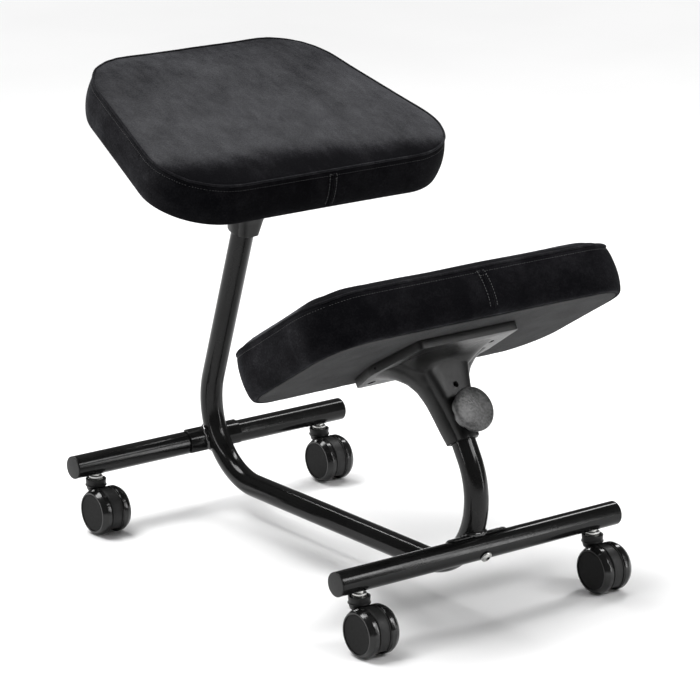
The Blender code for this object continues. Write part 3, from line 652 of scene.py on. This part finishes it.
def hood_meshes(trail):
    """The hood between two wheels: a round band, open below, with a lip on each rim, and its web."""
    radius, cut = WHEEL_R - 0.0012, -0.0195
    low = degrees(asin(cut / radius))
    turn = Matrix.Translation((0, -trail, WHEEL_R)) @ frame_matrix((0, 0, 0), (0, 1, 0), (0, 0, 1), (1, 0, 0))
    rim = arc(0, 0, radius, low, 180 - low, 64) + arc(0, 0, radius - 0.0028, 177 - low, low + 3, 64)
    shells = [slab(rim, -HOOD_HALF_WIDTH, HOOD_HALF_WIDTH, 0.0007)]
    for hand in (-1, 1):
        x = hand * (HOOD_HALF_WIDTH - 0.0010)
        lip = [(y, z, x) for y, z in arc(0, 0, radius + 0.0003, low + 2, 178 - low, 64)]
        shells.append(sweep(lip, 0.0008, 10, (0, 0, 1)))
    web = slab(arc(0, 0, radius - 0.002, low, 180 - low, 48), -0.0035, 0.0035, 0.0005)
    axle_hole = make_mesh("axle_hole", moved(rod(0.0033, -0.02, 0.02), turn))
    return (make_mesh("hood", *(moved(shell, turn) for shell in shells)),
            carve(make_mesh("web", moved(web, turn)), axle_hole))


def collar_mesh():
    """The round collar for the stem, with a ridge low down and a recess in its top."""
    top, recess = COLLAR_TOP, COLLAR_TOP - 0.0034
    profile = [(0, 0.0515), (0.0110, 0.0515, 0.002), (0.0128, 0.0580, 0.002), (0.0138, 0.0586, 0.0004),
               (0.0138, 0.0598, 0.0004), (0.0128, 0.0603, 0.0006), (0.0134, top, 0.0005),
               (0.0120, top, 0.0005), (0.0108, top - 0.0012, 0.0004), (0.0106, recess, 0.0006),
               (0.0062, recess, 0.0004),
               (0.0059, 0.0600), (0.0059, 0.0525), (0, 0.0525)]
    return make_mesh("collar", turned(rounded(profile, 4)))


def stem_mesh(bar_z):
    """The steel stem: a pin with a flange under the bar, and a toothed ring and a washer on the collar."""
    foot, head = 0.0530, bar_z + 0.0105
    low, high = bar_z - TUBE_R - 0.0045, bar_z - TUBE_R - 0.0012
    pin = [(0, foot), (STEM_R, foot, 0.0008), (STEM_R, low, 0.0003), (0.0088, low, 0.0006),
           (0.0088, high, 0.0006), (STEM_R, high, 0.0003), (STEM_R, head, 0.0012), (0, head)]
    teeth, z0, z1 = 14, COLLAR_TOP - 0.0030, COLLAR_TOP - 0.0002
    rim = []
    for k, a in enumerate(angles(teeth * 8)):
        r = 0.0092 if k % 8 < 4 else 0.0079
        rim.append((r * cos(a), r * sin(a)))
    washer = rounded([(0, z1), (0.0070, z1, 0.0003), (0.0070, z1 + 0.0012, 0.0003), (0, z1 + 0.0012)], 3)
    return make_mesh("stem", turned(rounded(pin, 4), 48), slab(rim, z0, z1, 0.0003, 2), turned(washer, 48))


def make_casters():
    trail = joint("front_left_swivel")["pos_m"][1] - joint("front_left_left_wheel_spin")["pos_m"][1]
    wheel, collar = wheel_mesh(), collar_mesh()
    hood, web = hood_meshes(trail)
    stem = stem_mesh(bar_places()["front"][0].z)
    for corner in CORNERS:
        x, y, _ = joint(f"{corner}_swivel")["pos_m"]
        at = Matrix.Translation((x, y, 0))
        body = f"{corner}_caster"
        place(f"{corner}_hood_band", hood, PLASTIC, body, at, f"{corner}_caster_hood", 40)
        place(f"{corner}_hood_web", web, PLASTIC, body, at, sharp=40)
        place(f"{corner}_collar", collar, PLASTIC, body, at, sharp=50)
        place(f"{corner}_stem_pin", stem, ZINC, "frame", at, f"{corner}_caster_stem", 30)
        for word, hand in (("left", -1), ("right", 1)):
            hub = joint(f"{corner}_{word}_wheel_spin")["pos_m"]
            turn = sideways((x + hand * WHEEL_INNER_X, hub[1], hub[2]), hand)
            place(f"{corner}_{word}_twin_wheel", wheel, TREAD, f"{corner}_{word}_roller",
                  turn, f"{corner}_{word}_wheel", 28)


# ---- brackets and the knob
def bracket_flange():
    """The flat plate under a pad, with creased corners and four recesses for its screws."""
    front, middle, back, depth = 0.074, 0.088, 0.070, 0.078
    corners = [(-front, -depth, 0.006), (front, -depth, 0.006), (middle, 0.012, 0.05),
               (back, depth, 0.012), (-back, depth, 0.012), (-middle, 0.012, 0.05)]
    outline = resample(rounded(corners, 16), 420, closed=True)
    recess_top = -0.0073
    recess = rounded([(0, -0.03), (SCREW_RECESS_R, -0.03), (SCREW_RECESS_R, recess_top, 0.0004),
                      (0, recess_top)], 3)
    cutters = [make_mesh("recess", moved(turned(recess, 40), Matrix.Translation((x, y, 0))))
               for x, y in HOLES]
    for hand in (-1, 1):
        side_hole = moved(rod(0.0016, -0.004, 0.004, 20), sideways((hand * 0.0875, 0.004, -0.0072)))
        cutters.append(make_mesh("side_hole", side_hole))
    return carve(make_mesh("flange", slab(outline, FLANGE_BOTTOM, FLANGE_TOP, 0.0009)), *cutters)


def trunk_rows():
    """The trumpet from its lip up to the flange: a sleeve and two wings, with a raised panel in front."""
    lip = -SOCKET_DEPTH
    heights = np.concatenate([np.linspace(lip + 0.0008, -0.045, 60),
                              np.linspace(-0.044, FLANGE_BOTTOM + 0.0006, 44)])
    above_lip = [0.0, 0.018, 0.036, 0.055, 0.072, 0.085, 0.095, 0.1005, 0.105]
    curves = [(above_lip, [SLEEVE_R, 0.0236, 0.0264, 0.0296, 0.0352, 0.0440, 0.0560, 0.0665, 0.0800]),
              (above_lip, [SLEEVE_R, 0.0200, 0.0212, 0.0235, 0.0275, 0.0330, 0.0420, 0.0510, 0.0620]),
              ([0, 0.022, 0.044, 0.066, 0.086, 0.095, 0.105],
               [0.0150, 0.0185, 0.0225, 0.0275, 0.0335, 0.0370, 0.0420])]
    smooth = np.hanning(15) / np.hanning(15).sum()
    halves = [np.convolve(np.pad(np.interp(heights - lip, xs, ys), 7, mode="reflect", reflect_type="odd"),
                          smooth, "valid") for xs, ys in curves]
    turn = np.array(angles(TRUNK_STEPS))
    c, s = np.abs(np.cos(turn)), np.sin(turn)
    bulge, squareness, blend, level = 2.3, 5, 900.0, 0.03
    rows = []
    for z, wing, rear, panel in zip(heights, *halves):
        sleeve_end = lip + 0.02
        front = SLEEVE_R if z < sleeve_end else min(SLEEVE_R + 0.10 * (z - sleeve_end), 0.0225)
        depth = np.where(s > 0, rear, 0.78 * front)
        body = ((c / wing) ** bulge + (np.abs(s) / depth) ** bulge) ** (-1 / bulge)
        # the cove: the panel's arched top rolls forward into the flange
        start = -0.0205 - 0.0095 * np.clip(c * panel / 0.034, 0, 1) ** 2
        roll = np.clip((z - start) / (FLANGE_BOTTOM - start), 0, 1)
        reach = front + 0.040 * (1 - np.sqrt(1 - roll ** 2))
        raised = ((c / (panel + 0.018 * roll)) ** squareness + (np.abs(s) / reach) ** squareness)
        raised = np.where(s < 0.12, raised ** (-1 / squareness), 0.0)
        # the larger of the two with a soft crossing, and a fine groove along the panel's edge
        both = np.log(np.exp(blend * (body - level)) + np.exp(blend * (raised - level))) / blend + level
        edge = np.clip((raised - body) / 0.0015, -1, 1)
        radius = np.where(s < 0.1, both - 0.0006 * np.exp(-(edge / 0.5) ** 2), body)
        rows.append(at_height(np.stack([np.cos(turn) * radius, 0.0005 + s * radius], 1), z))
    return rows


def bracket_trunk(with_knob):
    """The trunk round the post's socket, with a pin hole in front and, for the knob, a seat."""
    lip = -SOCKET_DEPTH
    inside = [(SOCKET_BORE_R, POST_TOP + 0.0005), (SOCKET_BORE_R, -0.05), (SOCKET_BORE_R, -0.09),
              (SOCKET_BORE_R, lip + 0.0012), (SOCKET_BORE_R + 0.0004, lip + 0.0003),
              (SOCKET_BORE_R + 0.0009, lip), (0.0184, lip), (0.0190, lip + 0.0003)]
    rows = [[(r * cos(a), r * sin(a), z) for a in angles(TRUNK_STEPS)] for r, z in inside]
    sink = [(0, 0.0160), (0.0019, 0.0160), (0.0019, 0.0196), (0.0044, 0.0226), (0.0044, 0.05), (0, 0.05)]
    cutters = [make_mesh("pin_hole", moved(turned(sink, 32), forwards(-0.0515)))]
    if with_knob:
        seat = moved(rod(INSERT_SEAT_R, 0.010, 0.05, 40), forwards(knob_height()))
        cutters.append(make_mesh("insert_seat", seat))
    return carve(make_mesh("trunk", surface(rows + trunk_rows())), *cutters)


def knob_height():
    """The height of the knob's axis in the knee pad's frame."""
    return (KNEE_FRAME.inverted() @ Vector(joint("knob_turn")["pos_m"])).z


def make_bracket(word, at, body, with_knob):
    place(f"{word}_bracket_flange", bracket_flange(), BRACKET_PLASTIC, body, at,
          f"{word}_bracket", 32)
    place(f"{word}_bracket_trunk", bracket_trunk(with_knob), BRACKET_PLASTIC, body, at,
          sharp=50)
    if with_knob:
        foot, top = 0.0165, 0.0278
        boss = rounded([(INSERT_SEAT_R, foot), (0.0165, foot, 0.001), (0.0128, 0.0240, 0.003),
                        (0.0123, top, 0.0008), (INSERT_SEAT_R, top, 0.0004)], 5)
        place("knob_boss", make_mesh("boss", turned(boss + boss[:1])), BRACKET_PLASTIC, body,
              at @ forwards(knob_height()), sharp=40)


def make_knob():
    """The clamp knob: a domed face over a skirt with seven shallow flutes."""
    flutes, flute_depth, flute_top = 7, 0.0021, 0.0092
    bore = [(0.0, 0.0093), (0.0043, 0.0093), (0.0043, 0.0), (BORE_RIM_R, 0.0)]
    skirt = [(0.0215, 0.0002), (0.0243, 0.0010), (0.0260, 0.0032), (0.0268, 0.0065), (0.0270, 0.0088)]
    edge = [(0.0277, 0.0096), (0.02775, 0.0108), (0.0275, 0.0119)]
    rim_r, rim_height = edge[-1]
    dome = [(rim_r * cos(a), rim_height + (KNOB_HEIGHT + 0.0016 - rim_height) * sin(a))
            for a in np.linspace(0.06, pi / 2, 26)]
    rows = []
    for r, h in bore + skirt + edge + dome:
        depth = flute_depth * max(0.0, 1 - (h / flute_top) ** 3) if r > BORE_RIM_R else 0.0
        row = []
        for a in angles(flutes * 24):
            out = r - depth * (0.5 - 0.5 * cos(flutes * a)) ** 2
            row.append((out * cos(a), out * sin(a), KNOB_STAND_OFF + h))
        rows.append(row)
    knob = make_mesh("knob", surface(rows, caps=False))
    place("knob_cap", knob, KNOB_PLASTIC, "clamp_grip", KNEE_FRAME @ forwards(knob_height()),
          "clamp_knob", 45)


# ---- pads
def pad_outline(size, inset=0.0):
    """The pad's outline seen from above, as the four rounded corners' points."""
    slope = (size["front"] - size["back"]) / 2 / size["depth"]
    side = inset * hypot(1, slope)
    front = size["front"] / 2 - side - slope * inset
    back = size["back"] / 2 - side + slope * inset
    y0, y1 = front_edge(size) + inset, front_edge(size) + size["depth"] - inset
    r = size["corner"] - inset
    return np.array(rounded([(-front, y0, r), (front, y0, r), (back, y1, r), (-back, y1, r)], 24))


def front_edge(size):
    return size["offset"] - size["depth"] / 2


def four_edges(outline, across, along):
    """The outline as four edges that meet in the middle of its corners: front, right, back, left."""
    per_corner = len(outline) // 4
    mid = [k * per_corner + per_corner // 2 for k in range(4)]
    edges = []
    for k, count in enumerate((across, along, across, along)):
        last = mid[(k + 1) % 4]
        points = outline[mid[k]:last + 1] if k < 3 else np.concatenate([outline[mid[3]:], outline[:last + 1]])
        edges.append(resample(points, count + 1))
    return edges[0], edges[1], edges[2][::-1], edges[3][::-1]


def panel(outline, size, cell):
    """A grid of points filling the outline, as [along][across], and its rim as grid places."""
    across, along = round(size["front"] * 0.86 / cell), round(size["depth"] / cell)
    front, right, back, left = four_edges(outline, across, along)
    u = np.linspace(0, 1, across + 1)[None, :, None]
    v = np.linspace(0, 1, along + 1)[:, None, None]
    grid = (1 - v) * front[None] + v * back[None] + (1 - u) * left[:, None] + u * right[:, None]
    grid -= (1 - u) * (1 - v) * front[0] + u * (1 - v) * front[-1] + (1 - u) * v * back[0] + u * v * back[-1]
    for _ in range(60):
        grid[1:-1, 1:-1] = (grid[:-2, 1:-1] + grid[2:, 1:-1] + grid[1:-1, :-2] + grid[1:-1, 2:]) / 4
    rim = [(0, i) for i in range(across)] + [(j, across) for j in range(along)]
    rim += [(along, i) for i in range(across, 0, -1)] + [(j, 0) for j in range(along, 0, -1)]
    return grid, rim


def quads(rows, width):
    """The faces of a grid of points."""
    return [(j * width + i, j * width + i + 1, (j + 1) * width + i + 1, (j + 1) * width + i)
            for j in range(rows - 1) for i in range(width - 1)]


def cover_points(size, seam_height, crown):
    """The cover's points: the top panel's grid, then loops down the boxing and under the board."""
    grid, rim = panel(pad_outline(size, SEAM_INSET), size, CLOTH_CELL)
    loop = np.array([grid[j, i] for j, i in rim])
    from_seam = np.linalg.norm(grid[:, :, None] - loop, axis=3).min(axis=2)
    top = np.dstack([grid, seam_height + crown * np.tanh(from_seam / 0.018)])
    z = seam_height
    section = [(0.0014, z - 0.004), (0.0030, z - 0.011), (0.0040, z * 0.66), (0.0045, z * 0.52),
               (0.0044, z * 0.38), (0.0036, z * 0.25), (0.0027, 0.0085), (0.0016, 0.0040), (0.0004, 0.0008),
               (-0.0010, -0.0012), (-0.0030, -0.0020), (-0.0048, -0.0016), (-0.0064, -0.0007),
               (-0.0110, -0.0007), (-0.0170, -0.0007)]
    return top, rim, [at_height(offset_loop(loop, d), height) for d, height in section]


def extend(verts, faces, above, rings):
    """Add rings of points, each joined to the ring above it. Returns the places of the last ring."""
    for ring in rings:
        below = list(range(len(verts), len(verts) + len(ring)))
        verts += ring.tolist()
        for k in range(len(ring)):
            n = (k + 1) % len(ring)
            faces.append((above[n], above[k], below[k], below[n]))
        above = below
    return above


def cover_mesh(top, rim, loops):
    """Quads for the top panel and the boxing. The rim of the panel is the seam."""
    rows, width = top.shape[:2]
    verts, faces = top.reshape(-1, 3).tolist(), quads(rows, width)
    seam = [j * width + i for j, i in rim]
    hem = extend(verts, faces, seam, loops)
    return verts, faces, seam, hem


def inflate(name, verts, faces, held):
    """Blow the cover up as cloth held at its seam and under the board, and limit how far it moves."""
    mesh = bpy.data.meshes.new(name)
    mesh.from_pydata(verts, [], faces)
    mesh.update()
    obj = add_object(name, mesh)
    obj.vertex_groups.new(name="held").add(held, 1.0, "ADD")
    cloth = obj.modifiers.new("cloth", "CLOTH")
    settings = dict(vertex_group_mass="held", quality=6, mass=0.35, tension_stiffness=14,
                    compression_stiffness=14, shear_stiffness=5, bending_stiffness=0.6,
                    use_pressure=True, uniform_pressure_force=4.0)
    for setting, value in settings.items():
        setattr(cloth.settings, setting, value)
    cloth.settings.effector_weights.gravity = 0.0
    cloth.collision_settings.use_collision = False
    scene = bpy.context.scene
    scene.frame_start, scene.frame_end = 1, CLOTH_FRAMES
    cloth.point_cache.frame_start, cloth.point_cache.frame_end = 1, CLOTH_FRAMES
    for step in range(1, CLOTH_FRAMES + 1):
        scene.frame_set(step)
    blown = obj.evaluated_get(bpy.context.evaluated_depsgraph_get())
    after, before = np.array([v.co for v in blown.data.vertices]), np.array(verts)
    scene.frame_set(1)
    bpy.data.objects.remove(obj, do_unlink=True)
    move = after - before
    far = np.linalg.norm(move, axis=1)
    share = CLOTH_REACH * np.tanh(far / CLOTH_REACH) / np.maximum(far, 1e-9)
    return (before + move * share[:, None]).tolist()


def loft_cushion(word, size, seam_height, crown):
    """The finished cover: the cloth, its closed inner side, and one subdivision."""
    top, rim, loops = cover_points(size, seam_height, crown)
    verts, faces, seam, hem = cover_mesh(top, rim, loops)
    under_board = range(len(verts) - 3 * len(rim), len(verts))
    verts = inflate(f"{word}_cloth", verts, faces, sorted({*seam, *under_board}))
    loop = np.array([verts[k][:2] for k in hem])
    inner = [at_height(loop, 0.0001), at_height(offset_loop(loop, HEM_INSET), 0.0002),
             at_height(offset_loop(loop, HEM_INSET), HEM_TOP),
             at_height(offset_loop(loop, HEM_INSET - 0.0071), HEM_TOP + 0.0002)]
    faces.append(tuple(extend(verts, faces, hem, inner)))
    mesh = bpy.data.meshes.new(f"{word}_cover")
    mesh.from_pydata(verts, [], faces)
    mesh.update()
    holder = add_object("holder", mesh)
    subdivision = holder.modifiers.new("smooth", "SUBSURF")
    subdivision.levels = subdivision.render_levels = 1
    fine = applied(holder)
    bpy.data.objects.remove(holder, do_unlink=True)
    return fine, seam


def soften(mesh, size, seam_height):
    """Small folds: the boxing waves a little, and the cloth puckers close to its seam."""
    co = np.array([v.co for v in mesh.vertices])
    normals = np.array([v.normal for v in mesh.vertices])
    outline = pad_outline(size, SEAM_INSET)
    nearest = np.array([np.linalg.norm(outline - p[:2], axis=1).min() for p in co])
    for k, p in enumerate(co):
        x, y, z = p
        if z < 0.0015:
            continue
        boxing = z < seam_height - 0.002 and nearest[k] < 0.012
        from_seam = abs(z - seam_height) if boxing else nearest[k]
        fold = 0.00035 * ripple((x * 1.5, y * 1.5, z * 0.5), 0.016, 2) * np.exp(-from_seam / 0.010)
        if boxing:
            side = min(1.0, (seam_height - z) / 0.012, z / 0.010)
            fold += 0.0011 * side * ripple((x, y, z * 0.35), 0.055, 4)
            fold += 0.0004 * side * ripple((x, y, z * 0.6), 0.018, 6)
        else:
            fold += 0.0009 * min(1.0, nearest[k] / 0.03) * ripple(p, 0.085, 9)
        p += normals[k] * fold
    mesh.vertices.foreach_set("co", co.astype(np.float32).ravel())
    mesh.update()


def set_painted_shade(mesh, values):
    """The painted shade and sheen of the cloth, from 0 to 1: one value, or one for each vertex."""
    values = np.broadcast_to(np.clip(values, 0, 1), len(mesh.vertices)).astype(np.float32)
    mesh.attributes.new("painted_sheen_and_shade", "FLOAT", "POINT").data.foreach_set("value", values)


def paint_shade_and_sheen(mesh, size, seam_height, light, dark_front):
    """Painted shade and sheen: the cloth is painted light on the top and dark on the boxing, darker on the boxing
    the more it faces the front or the right, darker on the top towards the back and the right, and darker in a
    band along the front.
    """
    values = []
    for v in mesh.vertices:
        x, y, z = v.co
        if z < seam_height - 0.0015 and v.normal.z < 0.6:
            # painted shade: the boxing is darker where it faces the front and the right
            value = 0.25 - 0.17 * max(0.0, -v.normal.y) - 0.16 * max(0.0, v.normal.x)
            value += 0.09 * ripple(v.co, 0.030, 3)
        else:
            edge = dark_front * (1 + 0.35 * ripple((x, 0, 0), 0.11, 12) - 3.0 * x)
            edge += 0.005 * ripple((x + 0.4 * y, y * 0.3, 0), 0.024, 13)
            edge += 0.003 * ripple((x, y, 0), 0.007, 15)
            share = min(1.0, max(0.0, (y - front_edge(size) - edge) / 0.045 + 0.5))
            share = share * share * (3 - 2 * share)
            behind = max(0.0, y - size["offset"]) / size["depth"]
            # painted shade: the top is darker towards the back and the right; 0.05 is the dark band along the
            # front
            value = light * (0.05 + 0.95 * share - 0.75 * behind - 0.8 * max(0.0, x))
            value += 0.07 * ripple((x, y * 0.7, 0), 0.05, 14)
        values.append(value)
    set_painted_shade(mesh, values)


def stitches(tree, points, pitch, length, radius):
    """Stitches along points that lie near the tree's surface, each a short capsule bedded in it."""
    points = np.asarray(points, float)
    span = np.concatenate([[0], np.cumsum(np.linalg.norm(np.diff(points, axis=0), axis=1))])
    lift = 0.0001
    shells = []
    for start in np.arange(pitch / 2, span[-1] - length, pitch):
        start += 0.12 * pitch * random.uniform(-1, 1)
        ends = []
        for at in (start, start + length / 2, start + length):
            p = Vector([np.interp(at, span, points[:, k]) for k in range(3)])
            ends.append(tree.find_nearest(p)[:2])
        (first, _), (middle, normal), (last, _) = ends
        along = last - first
        half = along.length / 2
        if half < length * 0.2:
            continue
        along.normalize()
        across = normal.cross(along).normalized()
        normal = along.cross(across)
        rows = []
        for t in np.linspace(-1, 1, 7):
            wide = radius * sqrt(max(0.0, 1 - abs(t) ** 3))
            centre = middle + normal * lift + along * (t * half) - normal * radius * 0.9 * t * t
            rows.append([centre + across * wide * cos(a) + normal * wide * sin(a) for a in angles(8)])
        shells.append(surface(rows, caps=False))
    return shells


def make_pad(word, size, at, body, look):
    """A cushion with its rolled welt, its stitching, its centre seam and the cover below."""
    seam_height = look["seam"]
    mesh, seam = loft_cushion(word, size, seam_height, look["crown"])
    soften(mesh, size, seam_height)
    paint_shade_and_sheen(mesh, size, seam_height, look["light"], look["dark_front"])
    cushion = place(f"{word}_upholstery", mesh, VELVET, body, at, f"{word}_cushion", 180)
    tree = BVHTree.FromPolygons([v.co for v in mesh.vertices], [p.vertices for p in mesh.polygons])
    loop = resample([mesh.vertices[k].co for k in seam], 520, closed=True)
    outward = offset_loop(loop[:, :2], 1.0) - loop[:, :2]
    make_welt(word, at, body, at_height(outward * 0.0005, 0.0004) + loop, look["light"])
    below = at_height(loop[:, :2] + outward * 0.003, seam_height - 0.0062)
    row = stitches(tree, np.concatenate([below, below[:1]]), STITCH_PITCH, STITCH_LENGTH, 0.00026)
    place_thread(f"{word}_stitching", row, THREAD, body, at)
    make_centre_seam(word, size, at, body, look, tree)
    make_dust_cover(word, size, at, body)


def make_welt(word, at, body, path, light):
    """The rolled edge over the seam."""
    radius = [0.00155 + 0.00012 * ripple(p, 0.012, 21) for p in path]
    welt = make_mesh("welt", sweep(path, radius, 14, (0, 0, 1), closed=True))
    # painted shade: the welt's cloth is painted at half the top's lightness
    set_painted_shade(welt, light * 0.50)
    place(f"{word}_rolled_welt", welt, VELVET, body, at, sharp=180)


def place_thread(name, shells, look, body, at):
    place(name, make_mesh(name, *shells, merge=1e-7), look, body, at, sharp=180)


def make_centre_seam(word, size, at, body, look, tree):
    """The seam in the middle of the boxing's front: two ridges, with stitches beside and across them."""
    top, radius = look["seam"], 0.00028
    front = front_edge(size) - 0.004
    rows = []
    for x in (-0.0052, 0.0052):
        line = [(x, front, z) for z in np.linspace(top - 0.003, 0.006, 30)]
        rows += stitches(tree, line, STITCH_PITCH, STITCH_LENGTH + 0.0001, radius)
    for z in (top - 0.0035, top - 0.0105):
        line = [(x, front, z) for x in np.linspace(-0.0075, 0.0060, 12)]
        rows += stitches(tree, line, STITCH_PITCH - 0.0006, STITCH_LENGTH, radius)
    place_thread(f"{word}_seam_stitching", rows, SEAM_THREAD, body, at)
    ridges = []
    for x in (-0.0013, 0.0013):
        line = []
        for z in np.linspace(top - 0.001, 0.0035, 44):
            hit, normal, _, _ = tree.find_nearest(Vector((x, front, z)))
            line.append(hit - normal * 0.0005)
        ridges.append(sweep(line, 0.0012, 10, (1, 0, 0)))
    seam = make_mesh("seam", *ridges)
    # painted shade: the seam's ridges are painted as dark as the shaded front boxing
    set_painted_shade(seam, look["light"] * 0.16)
    place(f"{word}_centre_seam", seam, VELVET, body, at, sharp=180)


def make_dust_cover(word, size, at, body):
    """A thin non-woven sheet stretched under the board, drawn into small puckers along its edge."""
    outline = pad_outline(size, LINING_INSET)
    grid, rim = panel(outline, size, LINING_CELL)
    rim_points = np.array([grid[j, i] for j, i in rim])
    rows, width = grid.shape[:2]
    z = np.zeros((rows, width))
    for j in range(rows):
        for i in range(width):
            x, y = grid[j, i]
            drawn = np.exp(-np.linalg.norm(rim_points - grid[j, i], axis=1).min() / 0.016)
            z[j, i] = -0.0012 - 0.0003 * abs(ripple((x, y, 0), 0.030, 31)) * (1 - drawn)
            z[j, i] -= 0.00065 * drawn * (0.5 + 0.5 * ripple((x, y, 0), 0.008, 33))
    sides = [np.dstack([grid, z + shift]).reshape(-1, 3)
             for shift in (-LINING_THICKNESS / 2, LINING_THICKNESS / 2)]
    half = rows * width
    faces = quads(rows, width)
    faces += [tuple(k + half for k in face) for face in faces]
    edge = [j * width + i for j, i in rim]
    faces += [(a, b, b + half, a + half) for a, b in zip(edge, edge[1:] + edge[:1])]
    mesh = make_mesh("dust_cover", (np.concatenate(sides), faces))
    sheet = place(f"{word}_lining", mesh, FELT, body, at, f"{word}_dust_cover", 180)


# ---- floor, lights and camera
def make_stage():
    """A wide pale floor. The camera looks down on it, so it fills the background."""
    reach = 30.0
    line = np.linspace(-reach, reach, 13)
    verts, faces = surface([[(x, y, 0.0) for x in line] for y in line], wrap=False, caps=False)
    mesh = bpy.data.meshes.new("studio_floor")
    mesh.from_pydata(verts, [], faces)
    mesh.materials.append(pale_floor())
    add_object("studio_floor", mesh)


def softbox(name, place_at, aim, size, watts):
    light = bpy.data.lights.new(name, "AREA")
    light.shape = "RECTANGLE"
    light.size, light.size_y = size
    light.energy = watts
    obj = add_object(name, light)
    obj.location = place_at
    obj.rotation_euler = (Vector(aim) - Vector(place_at)).to_track_quat("-Z", "Y").to_euler()


def make_lights():
    make_world()
    sun = bpy.data.lights.new("ceiling", "SUN")
    sun.energy = 3.0
    sun.angle = radians(32)
    aim = Vector((0.25, -0.30, -1.0))
    add_object("ceiling", sun).rotation_euler = aim.to_track_quat("-Z", "Y").to_euler()
    middle = (0, 0, 0.3)
    softbox("left_strip", (-2.4, 0.1, 1.2), middle, (0.2, 2.0), 13)
    softbox("right_strip", (1.5, -2.2, 0.9), middle, (0.2, 1.8), 14)
    softbox("bar_strip", (1.27, 0.32, 1.9), middle, (0.25, 1.4), 17)
    softbox("back_strip", (0.1, 1.75, 1.55), middle, (0.25, 1.3), 17)
    softbox("front_box", (0.84, -1.95, 1.7), (0, -0.2, 0.3), (1.4, 0.5), 23)


def make_world():
    """White all round: a weak fill light, and a pale backdrop where the camera sees past the floor."""
    fill, backdrop = 0.14, 0.97
    world = bpy.data.worlds.new("studio")
    bpy.context.scene.world = world
    world.use_nodes = True
    tree = world.node_tree
    background = tree.nodes["Background"]
    background.inputs["Color"].default_value = (1, 1, 1, 1)
    strength = tree.nodes.new("ShaderNodeMapRange")
    strength.inputs["To Min"].default_value = fill
    strength.inputs["To Max"].default_value = backdrop
    seen = tree.nodes.new("ShaderNodeLightPath").outputs["Is Camera Ray"]
    tree.links.new(seen, strength.inputs["Value"])
    tree.links.new(strength.outputs["Result"], background.inputs["Strength"])


def make_camera():
    """The photograph's view: a long lens from the front left, a little above the seat."""
    target, distance = Vector((0.0109, -0.0109, 0.2718)), 4.199
    azimuth, elevation, roll = radians(-37.067), radians(15.787), radians(-0.262)
    back = Vector((sin(azimuth) * cos(elevation), -cos(azimuth) * cos(elevation), sin(elevation)))
    right = Vector((cos(azimuth), sin(azimuth), 0))
    up = back.cross(right)
    data = bpy.data.cameras.new("camera")
    data.lens, data.sensor_width = 173.63, 36.0
    data.clip_start, data.clip_end = 0.1, 60
    camera = add_object("camera", data)
    tilted_right = right * cos(roll) + up * sin(roll)
    tilted_up = up * cos(roll) - right * sin(roll)
    camera.matrix_world = frame_matrix(target + back * distance, tilted_right, tilted_up, back)
    bpy.context.scene.camera = camera


def dress_cad_nodes():
    """Give every CAD node its slot's look. It shows on the nodes that no piece replaces."""
    slots = {part["node"]: part["material_slot"] for part in frame["record"]["subparts"]}
    for name, node in frame["nodes"].items():
        look = NODE_LOOKS[slots[name]]
        node.data.materials.clear()
        node.data.materials.append(look)


bpy.context.scene.view_settings.view_transform = "Standard"
make_camera()
make_stage()
make_lights()
dress_cad_nodes()
make_main_tube()
for bar_word, (bar_middle, bar_end) in bar_places().items():
    make_bar(bar_word, bar_middle, bar_end)
make_casters()
make_bracket("seat", SEAT_FRAME, "frame", False)
make_bracket("knee", KNEE_FRAME, "knee_rest", True)
make_knob()
make_pad("seat", SEAT, SEAT_FRAME, "frame", dict(seam=0.0540, crown=0.0060, light=0.64, dark_front=0.040))
make_pad("knee", KNEE, KNEE_FRAME, "knee_rest", dict(seam=0.0575, crown=0.0145, light=0.66, dark_front=0.034))
